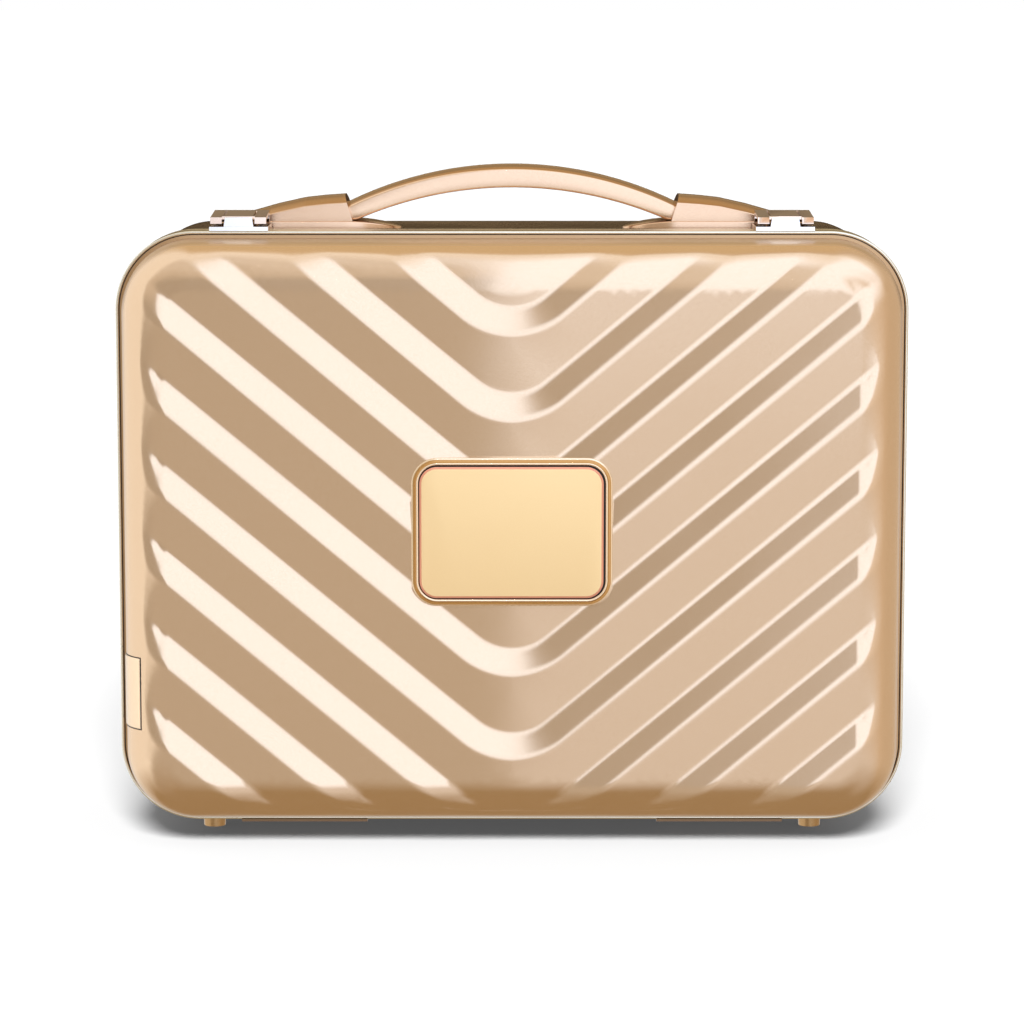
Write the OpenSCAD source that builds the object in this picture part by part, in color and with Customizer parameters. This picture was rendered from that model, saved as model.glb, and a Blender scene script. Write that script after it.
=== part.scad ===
// Hand-carried hard-shell beauty case: two moulded half shells with chevron facets,
// each clamped in a channel frame, hinged along the bottom and latched along the top.
// Seen from the front the lid faces -Y; +Z is up; the feet stand on Z = 0.

/* [Case] */
// Width over the two frames
case_w = 310; // [260:1:400]
// Height over the two frames
case_h = 234; // [190:1:320]
// Corner radius of the frames, seen from the front
corner_r = 31; // [28:1:44]
// Depth of the front half, from the parting plane to its face
lid_depth = 36; // [32:1:60]
// Depth of the rear half, from the parting plane to its face
body_depth = 114; // [90:1:180]
// Gap between the closed frames
seam = 0.3; // [0.2:0.05:0.6]

/* [Shells] */
// Wall of both moulded shells
shell_wall = 2.2; // [1.8:0.1:3]
// Step from the frame's outside to the front shell
lid_inset = 3.6; // [3:0.1:5]
// Step from the frame's outside to the rear shell
body_inset = 1.6; // [1.5:0.1:3]
// Draft of the front shell's sides, in degrees
lid_draft = 3; // [1:0.5:5]
// Draft of the rear shell's sides, in degrees
body_draft = 0.6; // [0.2:0.1:2]
// Radius of the long edge round the front face
lid_edge_r = 18; // [12:1:20]
// Radius of the long edge round the rear face
body_edge_r = 18; // [12:1:20]

/* [Chevrons] */
// Vertical distance from one chevron to the next
vee_period = 33.25; // [26:0.25:45]
// Rise of a chevron's arms above the horizontal, in degrees
vee_arm = 39.8; // [30:0.1:50]
// Width of the steep bevel, square to the arm
vee_bevel = 9.3; // [6:0.1:12]
// Bend radius of each crest at the chevron's point
vee_bend_r = 30.3; // [22:0.1:45]
// Depth of the facets below the shell's envelope
groove_depth = 2; // [1:0.1:2.4]
// Depth of the crests below the shell's envelope
crest_drop = 0.2; // [0.1:0.05:0.4]
// Flat strip along the bottom of each facet
valley_flat = 0.6; // [0.3:0.1:1.5]
// Height of a crest's lowest point from the case's centre
vee_start = 13.1; // [0:0.1:26]

/* [Frames] */
// Depth of each frame from front to back
frame_depth = 8; // [6:0.5:12]
// Width of the flange on which the frames meet
flange_w = 8; // [7.5:0.5:11]
// Thickness of that flange
flange_t = 2.4; // [2.2:0.1:3]
// Thickness of the frame's outer wall
frame_wall = 1.2; // [1:0.1:1.4]
// Thickness of the lip inside the shell
lip_wall = 1.3; // [1:0.1:1.6]
// Play between a shell and its frame's lip
lip_play = 0.2; // [0.1:0.05:0.4]
// Width of the seal
seal_w = 2; // [1.5:0.1:3]
// Depth of the seal's seat in the flange
seal_seat = 1; // [0.6:0.1:1.4]
// Distance from the frame's outside to the seal
seal_inset = 4.6; // [3.5:0.1:5]

/* [Linings] */
// Thickness of the padded linings
lining_t = 2; // [1.5:0.1:3]
// Play between a lining and the flange it passes
lining_play = 0.3; // [0.2:0.05:0.6]
// Difference between a shell's long inner edge and its lining's, in radius
lining_ease = 1.3; // [1.2:0.1:3]
// Thickness of the dividers
divider_t = 4; // [3:0.5:6]
// Height of the dividers above the rear lining
divider_h = 62; // [40:1:75]
// Height of the long divider above the case's centre
divider_up = 14; // [-20:1:40]
// Distance of the short dividers from the case's centre line
divider_x = 48; // [30:1:80]
// Width of the mirror glass
mirror_w = 206; // [150:1:215]
// Height of the mirror glass
mirror_h = 136; // [100:1:150]
// Thickness of the mirror glass
mirror_t = 2.5; // [2:0.1:3]
// Width of the mirror frame's border
mirror_border = 6; // [5:0.5:9]
// Overlap of that border over the glass
mirror_lip = 2; // [1:0.5:3]
// Thickness of the lip over the glass
mirror_lip_t = 1.2; // [0.8:0.1:2]

/* [Badge] */
// Width of the badge's rim
badge_w = 77.8; // [60:0.1:100]
// Height of the badge's rim
badge_h = 57.8; // [40:0.1:80]
// Corner radius of the rim
badge_r = 10; // [7:0.1:14]
// Height of the badge's centre above the case's centre
badge_up = 2.5; // [-10:0.1:20]
// Width of the rim's border
badge_border = 2.7; // [2:0.1:4]
// Width of the shadow gap round the plate
badge_gap = 1.2; // [0.8:0.1:2]
// Height of the rim in front of the shell's envelope
badge_proud = 1.2; // [0.6:0.1:2]
// Depth of the plate's seat below the envelope
badge_seat = 0.6; // [0.3:0.1:0.8]
// Thickness of the plate
badge_plate_t = 1.5; // [1:0.1:1.7]

/* [Side cover] */
// Height of the cover on the left side of the lid
cover_h = 28.6; // [20:0.1:40]
// Height of the cover's centre above the case's centre
cover_up = -61.9; // [-70:0.1:-40]
// Extent of the cover from front to back
cover_l = 18.8; // [12:0.1:20]
// Thickness of the cover
cover_t = 1.5; // [1:0.1:1.7]
// Distance by which the cover's front end leans in
cover_lean = 3.6; // [2:0.1:4]
// Play round the cover
cover_play = 0.15; // [0.1:0.05:0.3]

/* [Handle] */
// Distance of the handle behind the parting plane
handle_back = 37; // [30:1:80]
// Width of the strap from front to back
strap_w = 20; // [16:0.5:24]
// Height of the strap's crown above the frames
strap_top = 24.1; // [18:0.1:36]
// Height of the strap's underside above the frames
strap_under = 15; // [10:0.1:26]
// Radius of the strap's top, seen from the front
strap_top_r = 150; // [130:1:220]
// Radius of its underside
strap_under_r = 155; // [130:1:220]
// Rise of the strap's top between its long edges
strap_crown = 1.6; // [1:0.1:3]
// Half length of the stiff grip in the strap's middle
grip_half = 45; // [30:1:52]
// Distance of each sleeve's mouth from the centre line
mouth_x = 66.6; // [60:0.1:80]
// Length of the sleeves
sleeve_l = 45; // [36:1:60]
// Width of the sleeves from front to back
sleeve_w = 28; // [24:0.5:34]
// Height of a sleeve's crest above the frames, at its mouth
sleeve_top = 12; // [10.5:0.1:16]
// Drop from a sleeve's crest to its long edges
sleeve_drop = 2.6; // [1.5:0.1:4]
// Depth of the strap's pocket in the sleeve
pocket_l = 12; // [8:0.5:16]
// Play round the strap in its pocket
pocket_play = 0.3; // [0.2:0.05:0.6]
// Height of the base plates above the frames
plate_up = 1.8; // [1:0.1:3]
// Width of the base plates
plate_w = 30; // [26:0.5:36]
// Distance from a base plate's tip to the sleeve's mouth
plate_tip = 22.7; // [18:0.1:30]

/* [Latches] */
// Distance of each latch's middle from the case's side
latch_inset = 48.4; // [44:0.1:70]
// Width of the latch
latch_w = 22.9; // [18:0.1:30]
// Thickness of the keeper's and the latch's base
latch_base_t = 1.65; // [1.2:0.05:2.2]
// Width of the keeper's post at its foot
post_w = 12.2; // [8:0.1:16]
// Width of the post at its top
post_top_w = 10.5; // [7:0.1:14]
// Height of the post above the frames
post_up = 5.3; // [4:0.1:7]
// Thickness of the post
post_t = 1.5; // [1:0.1:2.5]
// Distance of the lever's pivot behind the parting plane
pivot_back = 13; // [11:0.1:16]
// Height of the pivot above the frames
pivot_up = 3.7; // [3.5:0.1:5]
// Radius of the latch pin
latch_pin_r = 0.8; // [0.6:0.05:1]
// Radius of the latch base's ears and the lever's eyes
ear_r = 1.6; // [1.3:0.05:2]
// Thickness of the lever's top
lever_t = 1.2; // [0.8:0.1:1.6]
// Reach of the jaws in front of the parting plane
jaw_reach = 9.4; // [8.5:0.1:11]
// Height of the jaws' lower ends above the frames
jaw_low = 2.9; // [2.3:0.1:4]

/* [Hinges] */
// Distance of each hinge's middle from the case's side
hinge_inset = 72.5; // [66:0.5:90]
// Length of a hinge
hinge_l = 50; // [30:1:70]
// Number of knuckles on a hinge
knuckles = 5; // [3:2:7]
// Radius of the knuckles
knuckle_r = 2; // [1.7:0.05:2.6]
// Radius of the hinge pins
hinge_pin_r = 0.9; // [0.7:0.05:1.2]
// Radial play of the lid's knuckles on the pins
pin_play = 0.07; // [0.03:0.01:0.1]
// Thickness of the hinge leaves
leaf_t = 1; // [0.8:0.1:1.5]
// Drop of the hinge axis below the frames
hinge_drop = 0.2; // [0.1:0.05:0.6]
// Gap between neighbouring knuckles
knuckle_gap = 0.3; // [0.2:0.05:0.5]

/* [Feet] */
// Height of the frames above the floor
foot_h = 7; // [6:0.5:12]
// Radius of a foot where it meets the shell
foot_top_r = 4.76; // [4:0.02:8]
// Radius of a foot at the floor
foot_low_r = 4.34; // [3.5:0.02:8]
// Distance of the feet from the case's sides
foot_inset = 35; // [35:0.5:60]
// Distance of the front feet behind the parting plane
foot_front = 13.5; // [13:0.5:30]
// Distance of the rear feet in front of the rear face
foot_rear = 24; // [20:1:40]

/* [Fasteners] */
// Shank radius of the rivets
rivet_r = 1; // [0.8:0.05:1.3]
// Head radius of the rivets
rivet_head_r = 1.6; // [1.3:0.05:2.2]
// Head height of the rivets
rivet_head_t = 0.5; // [0.4:0.05:0.8]
// Shank radius of the screws
screw_r = 1.5; // [1.2:0.05:2]
// Head radius of the screws
screw_head_r = 2.6; // [2.2:0.05:3]
// Head height of the screws
screw_head_t = 1.1; // [0.8:0.1:1.4]
// Radial play round every shank
shank_play = 0.1; // [0.05:0.05:0.2]

/* [Hidden] */
$fn = 64;
over = 1;
through = 20;
half_w = case_w / 2;
half_h = case_h / 2;
latch_x = half_w - latch_inset;
hinge_x = half_w - hinge_inset;
foot_x = half_w - foot_inset;
rim_z = seam / 2 + flange_t;
centre_z = foot_h + half_h;
split_y = (lid_depth + badge_proud - body_depth + crest_drop) / 2;
wall_face = groove_depth + shell_wall;
lid_inner = lid_depth - wall_face;
body_inner = body_depth - wall_face;
lining_r = corner_r - flange_w - lining_play;
lining_w = case_w - 2 * (flange_w + lining_play);
lining_h = case_h - 2 * (flange_w + lining_play);
lining_start = seam / 2 + 1;
lid_floor = lid_inner - lining_t;
body_floor = body_inner - lining_t;
lid_lining_r = lid_edge_r - shell_wall - lining_ease;
body_lining_r = body_edge_r - shell_wall - lining_ease;
divider_play = 0.1;
mirror_r = 4;
mirror_frame_r = 10;
vee_step = vee_period * cos(vee_arm);
seam_lap = 3;
facet_run = vee_step - vee_bevel - valley_flat;
vee_reach = (half_w + vee_period) / cos(vee_arm);
vee_first = ceil((-half_h - half_w * tan(vee_arm) - vee_start) / vee_period);
vee_last = floor((half_h - vee_start) / vee_period);
badge_back = lid_depth - groove_depth - 0.1;
badge_step = 0.6;
cover_z = frame_depth + seam / 2 + 0.8;
latch_end = pivot_back + 4;
latch_start = 1.5;
keeper_end = frame_depth + seam / 2 + 0.15;
pad_start = frame_depth + seam / 2 + 0.3;
score_w = 0.5;
arm_in = post_w / 2 + 0.3;
arm_out = latch_w / 2 - 0.6;
ear_in = arm_in - 1.9;
eye_in = arm_in;
rivet_z = seam / 2 + frame_depth / 2;
rivet_dx = latch_w / 2 - 2.4;
leaf_rivet_dx = hinge_l / 2 - 7;
strap_centre = strap_top - strap_top_r;
strap_under_centre = strap_under - strap_under_r;
strap_mouth = strap_centre + sqrt(strap_top_r * strap_top_r - mouth_x * mouth_x);
plate_sink = 0.8;
plate_seat = -body_inset - plate_sink;
plate_l = plate_tip + sleeve_l + 4;
screw_xs = [mouth_x + 0.4 * sleeve_l, mouth_x + 0.8 * sleeve_l];
head_play = 0.05;

// Lid pieces are drawn with x to the right, y up from the case's centre and z forward of the
// parting plane. Body pieces have the same x and y, and z behind that plane.
module on_lid() {
    translate([0, split_y, centre_z]) rotate([90, 0, 0]) children();
}

module on_body() {
    translate([0, split_y, centre_z]) mirror([0, 1, 0]) rotate([90, 0, 0]) children();
}

module both_sides() {
    children();
    mirror([1, 0, 0]) children();
}

module rounded_rect(w, h, r) {
    square([w - 2 * r, h], center = true);
    square([w, h - 2 * r], center = true);
    for (x = [-1, 1], y = [-1, 1]) translate([x * (w / 2 - r), y * (h / 2 - r)]) circle(r);
}

module rounded_plate(w, h, r, z0, z1) {
    translate([0, 0, z0]) linear_extrude(z1 - z0) rounded_rect(w, h, r);
}

// A section in (distance from the corner's centre, z), carried round a rounded rectangle
module carry_round(w, h, r) {
    ax = w / 2 - r;
    ay = h / 2 - r;
    for (mx = [0, 1], my = [0, 1])
        mirror([mx, 0, 0]) mirror([0, my, 0]) translate([ax, ay, 0]) rotate_extrude(angle = 90)
            children();
    both_sides() translate([ax, ay, 0]) rotate([90, 0, 0]) linear_extrude(2 * ay) children();
    for (my = [0, 1])
        mirror([0, my, 0]) translate([-ax, ay, 0]) rotate([90, 0, 90]) linear_extrude(2 * ax)
            children();
}

// Half section of a drafted block with a round long edge
module edge_profile(r, depth, edge_r, draft) {
    cy = depth - edge_r;
    cx = r - cy * tan(draft) - edge_r / cos(draft);
    tx = cx + edge_r * cos(draft);
    ty = cy + edge_r * sin(draft);
    polygon([[0, 0], [r, 0], [tx, ty], [cx, cy], [cx, depth], [0, depth]]);
    translate([cx, cy]) intersection() {
        circle(edge_r);
        square(edge_r + 1);
    }
}

module pillow(w, h, r, depth, edge_r, draft) {
    carry_round(w, h, r) edge_profile(r, depth, edge_r, draft);
    translate([r - w / 2, r - h / 2, 0]) cube([w - 2 * r, h - 2 * r, depth]);
}

// Solid above a chevron line: its side meets the crest level at crest_r and the groove's
// bottom at deep_r, both counted from the centre of the bend
module above_chevron(crest_r, deep_r, extra) {
    rate = (crest_r - deep_r) / (groove_depth - crest_drop);
    low = -groove_depth - extra;
    high = over + extra;
    low_r = crest_r + rate * (low + crest_drop);
    high_r = crest_r + rate * (high + crest_drop);
    rotate([0, 0, -90 - vee_arm]) rotate_extrude(angle = 2 * vee_arm)
        polygon([[0, low], [low_r, low], [high_r, high], [0, high]]);
    both_sides()
        rotate([0, 0, vee_arm - 90]) translate([0, vee_reach, 0]) rotate([90, 0, 0])
            linear_extrude(vee_reach)
                polygon([[-seam_lap, low], [low_r, low], [high_r, high], [-seam_lap, high]]);
    translate([0, 0, low])
        linear_extrude(over + 2 * extra + groove_depth)
            polygon([
                [0, 0],
                [vee_reach * cos(vee_arm), vee_reach * sin(vee_arm)],
                [-vee_reach * cos(vee_arm), vee_reach * sin(vee_arm)],
            ]);
}

// One facet pair: the steep bevel down to its crest, and the long facet behind it
module chevron_groove() {
    difference() {
        above_chevron(vee_bend_r, vee_bend_r - vee_bevel, 0);
        translate([0, vee_period, 0])
            above_chevron(vee_bend_r, vee_bend_r + facet_run, 0.5);
    }
}

module chevrons(face_z) {
    for (i = [vee_first : vee_last])
        translate([0, vee_start + i * vee_period + vee_bend_r, face_z]) chevron_groove();
}

module shell_solid(inset, depth, inner, edge_r, draft) {
    w = case_w - 2 * inset;
    h = case_h - 2 * inset;
    r = corner_r - inset;
    difference() {
        translate([0, 0, rim_z]) pillow(w, h, r, depth - rim_z, edge_r, draft);
        translate([0, 0, rim_z - over])
            pillow(w - 2 * shell_wall, h - 2 * shell_wall, r - shell_wall,
                inner - rim_z + over, edge_r - shell_wall, draft);
        chevrons(depth);
    }
}

// Section of a frame: outer wall with a round bead, flange, and the lip inside the shell
module frame_section(inset, draft) {
    lip_r = corner_r - inset - shell_wall - lip_play - frame_depth * tan(draft);
    z0 = seam / 2;
    z1 = z0 + frame_depth;
    bead = frame_wall / 2;
    polygon([
        [corner_r, z0], [corner_r, z1 - bead], [corner_r - frame_wall, z1 - bead],
        [corner_r - frame_wall, rim_z], [lip_r, rim_z], [lip_r, z1 - 1],
        [lip_r - lip_wall, z1 - 1], [lip_r - lip_wall, rim_z],
        [corner_r - flange_w, rim_z], [corner_r - flange_w, z0],
    ]);
    translate([corner_r - bead, z1 - bead]) circle(bead);
}

module hinge_relief() {
    both_sides()
        translate([hinge_x - hinge_l / 2 - 0.3, -half_h - hinge_drop, 0]) rotate([0, 90, 0])
            cylinder(r = knuckle_r + 0.3, h = hinge_l + 0.6);
}

// Upright shanks that enter the case from above, or from below when mirrored
module shanks(xs, z, seat, depth, r) {
    for (x = xs)
        translate([x, half_h + seat, z]) rotate([90, 0, 0]) cylinder(r = r, h = seat + depth);
}

module heads(xs, z, seat) {
    for (x = xs)
        translate([x, half_h + seat + rivet_head_t, z]) rotate([90, 0, 0])
            cylinder(r = rivet_head_r, h = rivet_head_t);
}

function pairs(x, dx) = [-x - dx, -x + dx, x - dx, x + dx];

module top_rivets(r, depth) {
    shanks(pairs(latch_x, rivet_dx), rivet_z, latch_base_t, depth, r);
}

module bottom_rivets(r, depth) {
    mirror([0, 1, 0]) shanks(pairs(hinge_x, leaf_rivet_dx), rivet_z, leaf_t, depth, r);
}

module rivet_set(inset) {
    top_rivets(rivet_r, inset + shell_wall / 2);
    bottom_rivets(rivet_r, inset + shell_wall / 2);
    heads(pairs(latch_x, rivet_dx), rivet_z, latch_base_t);
    mirror([0, 1, 0]) heads(pairs(hinge_x, leaf_rivet_dx), rivet_z, leaf_t);
}

module rivet_holes(inset) {
    top_rivets(rivet_r + shank_play, inset + shell_wall / 2 + 0.4);
    bottom_rivets(rivet_r + shank_play, inset + shell_wall / 2 + 0.4);
}

// Outline of the side cover, from the lid's frame towards its face
function cover_line(shift) = let (x = -half_w + lid_inset + 0.2 + shift)
    [[x, cover_z], [x + cover_lean, cover_z + cover_l]];

module cover_pocket() {
    line = cover_line(cover_t);
    slope = cover_lean / cover_l;
    translate([0, cover_up + cover_h / 2 + cover_play, 0]) rotate([90, 0, 0])
        linear_extrude(cover_h + 2 * cover_play)
            polygon([
                [line[0][0] - slope * cover_play, line[0][1] - cover_play],
                [line[1][0] + slope * cover_play, line[1][1] + cover_play],
                [-half_w - over, line[1][1] + cover_play],
                [-half_w - over, line[0][1] - cover_play],
            ]);
}

module lid_shell() {
    color("#d0b595") on_lid() difference() {
        shell_solid(lid_inset, lid_depth, lid_inner, lid_edge_r, lid_draft);
        translate([0, badge_up, 0])
            rounded_plate(badge_w + 2 * cover_play, badge_h + 2 * cover_play,
                badge_r + cover_play, badge_back, lid_depth + over);
        cover_pocket();
        rivet_holes(lid_inset);
    }
}

module body_shell() {
    color("#c4a27a") on_body() difference() {
        shell_solid(body_inset, body_depth, body_inner, body_edge_r, body_draft);
        rivet_holes(body_inset);
        both_sides() handle_plate_outline(cover_play, plate_seat, over);
        handle_shanks(screw_r + shank_play, through);
        foot_shanks(screw_r + shank_play, through);
        both_sides() latch_pad(cover_play);
    }
}

module lid_frame() {
    color("#f3ecd2") on_lid() difference() {
        carry_round(case_w, case_h, corner_r) frame_section(lid_inset, lid_draft);
        hinge_relief();
        rivet_holes(lid_inset);
    }
}

module body_frame() {
    color("#e9dcc0") on_body() difference() {
        carry_round(case_w, case_h, corner_r) frame_section(body_inset, body_draft);
        seal_ring(0.1, seam / 2 - over, seam / 2 + seal_seat);
        hinge_relief();
        rivet_holes(body_inset);
    }
}

module seal_ring(play, z0, z1) {
    carry_round(case_w, case_h, corner_r)
        translate([corner_r - seal_inset - seal_w - play, z0])
            square([seal_w + 2 * play, z1 - z0]);
}

module frame_seal() {
    color("#4a4038") on_body() seal_ring(0, 0, seam / 2 + seal_seat);
}

// Room inside a lining, with play at its sides
module lining_room(floor_z, edge_r, play) {
    wall = lining_t + play;
    translate([0, 0, lining_start - over])
        pillow(lining_w - 2 * wall, lining_h - 2 * wall, lining_r - wall,
            floor_z - lining_start + over, edge_r - lining_t, 0);
}

module lining(floor_z, edge_r) {
    difference() {
        translate([0, 0, lining_start])
            pillow(lining_w, lining_h, lining_r, floor_z + lining_t - lining_start, edge_r, 0);
        lining_room(floor_z, edge_r, 0);
    }
}

module lid_lining() {
    color("#cdb7a6") on_lid() lining(lid_floor, lid_lining_r);
}

module body_lining() {
    color("#cdb7a6") on_body() lining(body_floor, body_lining_r);
}

// A plate that stands on the rear lining and follows its round edge
module divider_plate(size_x, size_y, x, y) {
    intersection() {
        translate([x - size_x / 2, y - size_y / 2, body_floor - divider_h])
            cube([size_x, size_y, divider_h + over]);
        lining_room(body_floor, body_lining_r, divider_play);
    }
}

module long_divider() {
    color("#b89a86") on_body() divider_plate(case_w, divider_t, 0, divider_up);
}

module short_divider(side) {
    low = divider_up + divider_t / 2;
    color("#b89a86") on_body()
        divider_plate(divider_t, half_h - low, side * divider_x, (low + half_h) / 2);
}

module mirror_frame() {
    w = mirror_w + 2 * mirror_border;
    h = mirror_h + 2 * mirror_border;
    thick = mirror_t + mirror_lip_t;
    color("#e3c9a2") on_lid() difference() {
        rounded_plate(w, h, mirror_frame_r, lid_floor - thick, lid_floor);
        rounded_plate(mirror_w + 2 * divider_play, mirror_h + 2 * divider_play, mirror_r,
            lid_floor - mirror_t, lid_floor + over);
        rounded_plate(mirror_w - 2 * mirror_lip, mirror_h - 2 * mirror_lip, mirror_r,
            lid_floor - thick - over, lid_floor);
    }
}

module mirror_glass() {
    color("#dfe6ea") on_lid()
        rounded_plate(mirror_w, mirror_h, mirror_r, lid_floor - mirror_t, lid_floor);
}

module badge_rim() {
    in_w = badge_w - 2 * badge_border;
    in_h = badge_h - 2 * badge_border;
    color("#b98a6c") on_lid() translate([0, badge_up, 0]) difference() {
        union() {
            rounded_plate(badge_w, badge_h, badge_r, badge_back, lid_depth + badge_proud - badge_step);
            rounded_plate(badge_w - 2 * badge_step, badge_h - 2 * badge_step, badge_r - badge_step,
                badge_back, lid_depth + badge_proud);
        }
        rounded_plate(in_w, in_h, badge_r - badge_border, lid_depth - badge_seat,
            lid_depth + badge_proud + over);
    }
}

module badge_plate() {
    cut = badge_border + badge_gap;
    top = lid_depth - badge_seat + badge_plate_t;
    color("#f3daaa") on_lid() translate([0, badge_up, 0]) {
        rounded_plate(badge_w - 2 * cut, badge_h - 2 * cut, badge_r - cut,
            lid_depth - badge_seat, top - 0.3);
        rounded_plate(badge_w - 2 * cut - 0.6, badge_h - 2 * cut - 0.6, badge_r - cut - 0.3,
            lid_depth - badge_seat, top);
    }
}

module side_cover() {
    face = cover_line(0);
    seat = cover_line(cover_t);
    color("#ecd2b6") on_lid() translate([0, cover_up + cover_h / 2, 0]) rotate([90, 0, 0])
        linear_extrude(cover_h) polygon([face[0], face[1], seat[1], seat[0]]);
}

// Keeper on the lid: a base on the frame and a post that the lever's jaws straddle
module keeper(side) {
    color("#f4f4f4") on_lid() translate([side * latch_x, half_h, 0]) difference() {
        union() {
            translate([-latch_w / 2, 0, latch_start])
                cube([latch_w, latch_base_t, keeper_end - latch_start]);
            translate([0, 0, frame_depth - post_t]) linear_extrude(post_t)
                polygon([
                    [-post_w / 2, 0], [post_w / 2, 0],
                    [post_top_w / 2, post_up], [-post_top_w / 2, post_up],
                ]);
        }
        translate([-side * latch_x, -half_h, 0]) rivet_holes(lid_inset);
    }
}

module latch_pad(play) {
    translate([latch_x - latch_w / 2 - play, half_h + plate_seat, pad_start])
        cube([latch_w + 2 * play, over - plate_seat, latch_end + play - pad_start]);
}

module along_x(x0, x1, y, z, r) {
    translate([x0, y, z]) rotate([0, 90, 0]) cylinder(r = r, h = x1 - x0);
}

// Ears that carry the lever's pin, standing on a plate over the frame's edge
module latch_base(side) {
    color("#cdb18c") on_body() translate([side * latch_x, half_h, 0]) difference() {
        union() {
            translate([-latch_w / 2, 0, latch_start])
                cube([latch_w, latch_base_t, latch_end - latch_start]);
            translate([-latch_w / 2, plate_seat, pad_start])
                cube([latch_w, latch_base_t - plate_seat, latch_end - pad_start]);
            both_sides() {
                along_x(ear_in, arm_in - 0.3, pivot_up, pivot_back, ear_r);
                translate([ear_in, 0, pivot_back - ear_r])
                    cube([arm_in - 0.3 - ear_in, pivot_up, 2 * ear_r]);
            }
        }
        along_x(-latch_w, latch_w, pivot_up, pivot_back, latch_pin_r + 0.03);
        translate([-side * latch_x, -half_h, 0]) rivet_holes(body_inset);
    }
}

module latch_pin(side) {
    color("#8d8378") on_body() translate([side * latch_x, half_h, 0])
        along_x(-arm_out, arm_out, pivot_up, pivot_back, latch_pin_r);
}

// Side profile of the lever in (distance behind the parting plane, height above the frames)
lever_front_top = post_up + 0.1;
lever_rear_top = pivot_up + ear_r + 0.35 + lever_t;
lever_rear = pivot_back + 2;

module lever_slab(x0, x1, front) {
    rate = (lever_rear_top - lever_front_top) / (lever_rear + jaw_reach);
    y0 = lever_rear_top - rate * (lever_rear - front);
    translate([x0, 0, 0]) rotate([90, 0, 90]) linear_extrude(x1 - x0)
        polygon([
            [y0, front], [lever_rear_top, lever_rear], [lever_rear_top - lever_t, lever_rear],
            [y0 - lever_t, front],
        ]);
}

module latch_lever(side) {
    color("#8a7763") on_body() translate([side * latch_x, half_h, 0]) difference() {
        union() {
            lever_slab(-arm_out, arm_out, -frame_depth + post_t + 0.4);
            both_sides() {
                lever_slab(arm_in, arm_out, -jaw_reach);
                translate([arm_in, jaw_low, -jaw_reach])
                    cube([arm_out - arm_in, lever_front_top - jaw_low - 0.6, 2.4]);
                along_x(eye_in, arm_out, pivot_up, pivot_back, ear_r);
                translate([eye_in, pivot_up, pivot_back - ear_r])
                    cube([arm_out - eye_in, lever_rear_top - pivot_up - 0.6, 2 * ear_r]);
            }
        }
        both_sides()
            translate([post_w / 2 - score_w, lever_front_top + 0.2, -jaw_reach - over])
                cube([score_w, lever_rear_top, pivot_back + jaw_reach]);
        along_x(-latch_w, latch_w, pivot_up, pivot_back, latch_pin_r + pin_play);
    }
}

module knuckle_row(first, bore) {
    step = hinge_l / knuckles;
    for (i = [first : 2 : knuckles - 1])
        translate([-hinge_l / 2 + i * step + knuckle_gap / 2, 0, 0]) difference() {
            union() {
                along_x(0, step - knuckle_gap, -hinge_drop, 0, knuckle_r);
                translate([0, -leaf_t, 0]) cube([step - knuckle_gap, leaf_t, knuckle_r + 0.5]);
            }
            along_x(-over, step + over, -hinge_drop, 0, bore);
        }
}

module leaf(side, first, bore) {
    translate([side * hinge_x, -half_h, 0]) {
        knuckle_row(first, bore);
        difference() {
            translate([-hinge_l / 2, -leaf_t, knuckle_r + 0.4])
                cube([hinge_l, leaf_t, seam / 2 + frame_depth - knuckle_r - 0.4]);
            for (dx = [-leaf_rivet_dx, leaf_rivet_dx])
                translate([dx, over, rivet_z]) rotate([90, 0, 0])
                    cylinder(r = rivet_r + shank_play, h = leaf_t + 2 * over);
        }
    }
}

module lid_leaf(side) {
    color("#5c4b3c") on_lid() leaf(side, 1, hinge_pin_r + pin_play);
}

module body_leaf(side) {
    color("#5c4b3c") on_body() leaf(side, 0, hinge_pin_r + 0.03);
}

module hinge_pin(side) {
    color("#a89a8a") on_body() translate([side * hinge_x, -half_h, 0])
        along_x(-hinge_l / 2, hinge_l / 2, -hinge_drop, 0, hinge_pin_r);
}

module lid_rivets() {
    color("#b9a68c") on_lid() rivet_set(lid_inset);
}

module body_rivets() {
    color("#b9a68c") on_body() rivet_set(body_inset);
}

module handle_plate_outline(play, y0, y1) {
    tip_r = plate_w / 2;
    x0 = mouth_x - plate_tip + tip_r;
    translate([0, half_h + y1, handle_back]) rotate([90, 0, 0]) linear_extrude(y1 - y0) {
        translate([x0, -tip_r - play]) square([plate_l - tip_r + play, plate_w + 2 * play]);
        translate([x0, 0]) circle(tip_r + play);
    }
}

module handle_plate(side) {
    color("#e2c0a6") on_body() mirror([side < 0 ? 1 : 0, 0, 0]) difference() {
        handle_plate_outline(0, plate_seat, plate_up);
        handle_shanks(screw_r + shank_play, through);
    }
}

// Screws from inside: heads against the shell's inner wall, shanks up into the sleeves
module handle_shanks(r, depth) {
    for (x = screw_xs, m = [0, 1])
        mirror([m, 0, 0]) translate([x, half_h + over, handle_back]) rotate([90, 0, 0])
            cylinder(r = r, h = depth);
}

function wall_drop(z) = body_inset + (z - rim_z) * tan(body_draft) + shell_wall;

module handle_screws() {
    low = wall_drop(handle_back + screw_head_r);
    color("#9c9488") on_body() {
        handle_shanks(screw_r, low + over + 2 * head_play);
        for (x = screw_xs, m = [0, 1])
            mirror([m, 0, 0]) translate([x, half_h - low - head_play, handle_back])
                rotate([90, 0, 0]) cylinder(r = screw_head_r, h = screw_head_t);
    }
}

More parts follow.
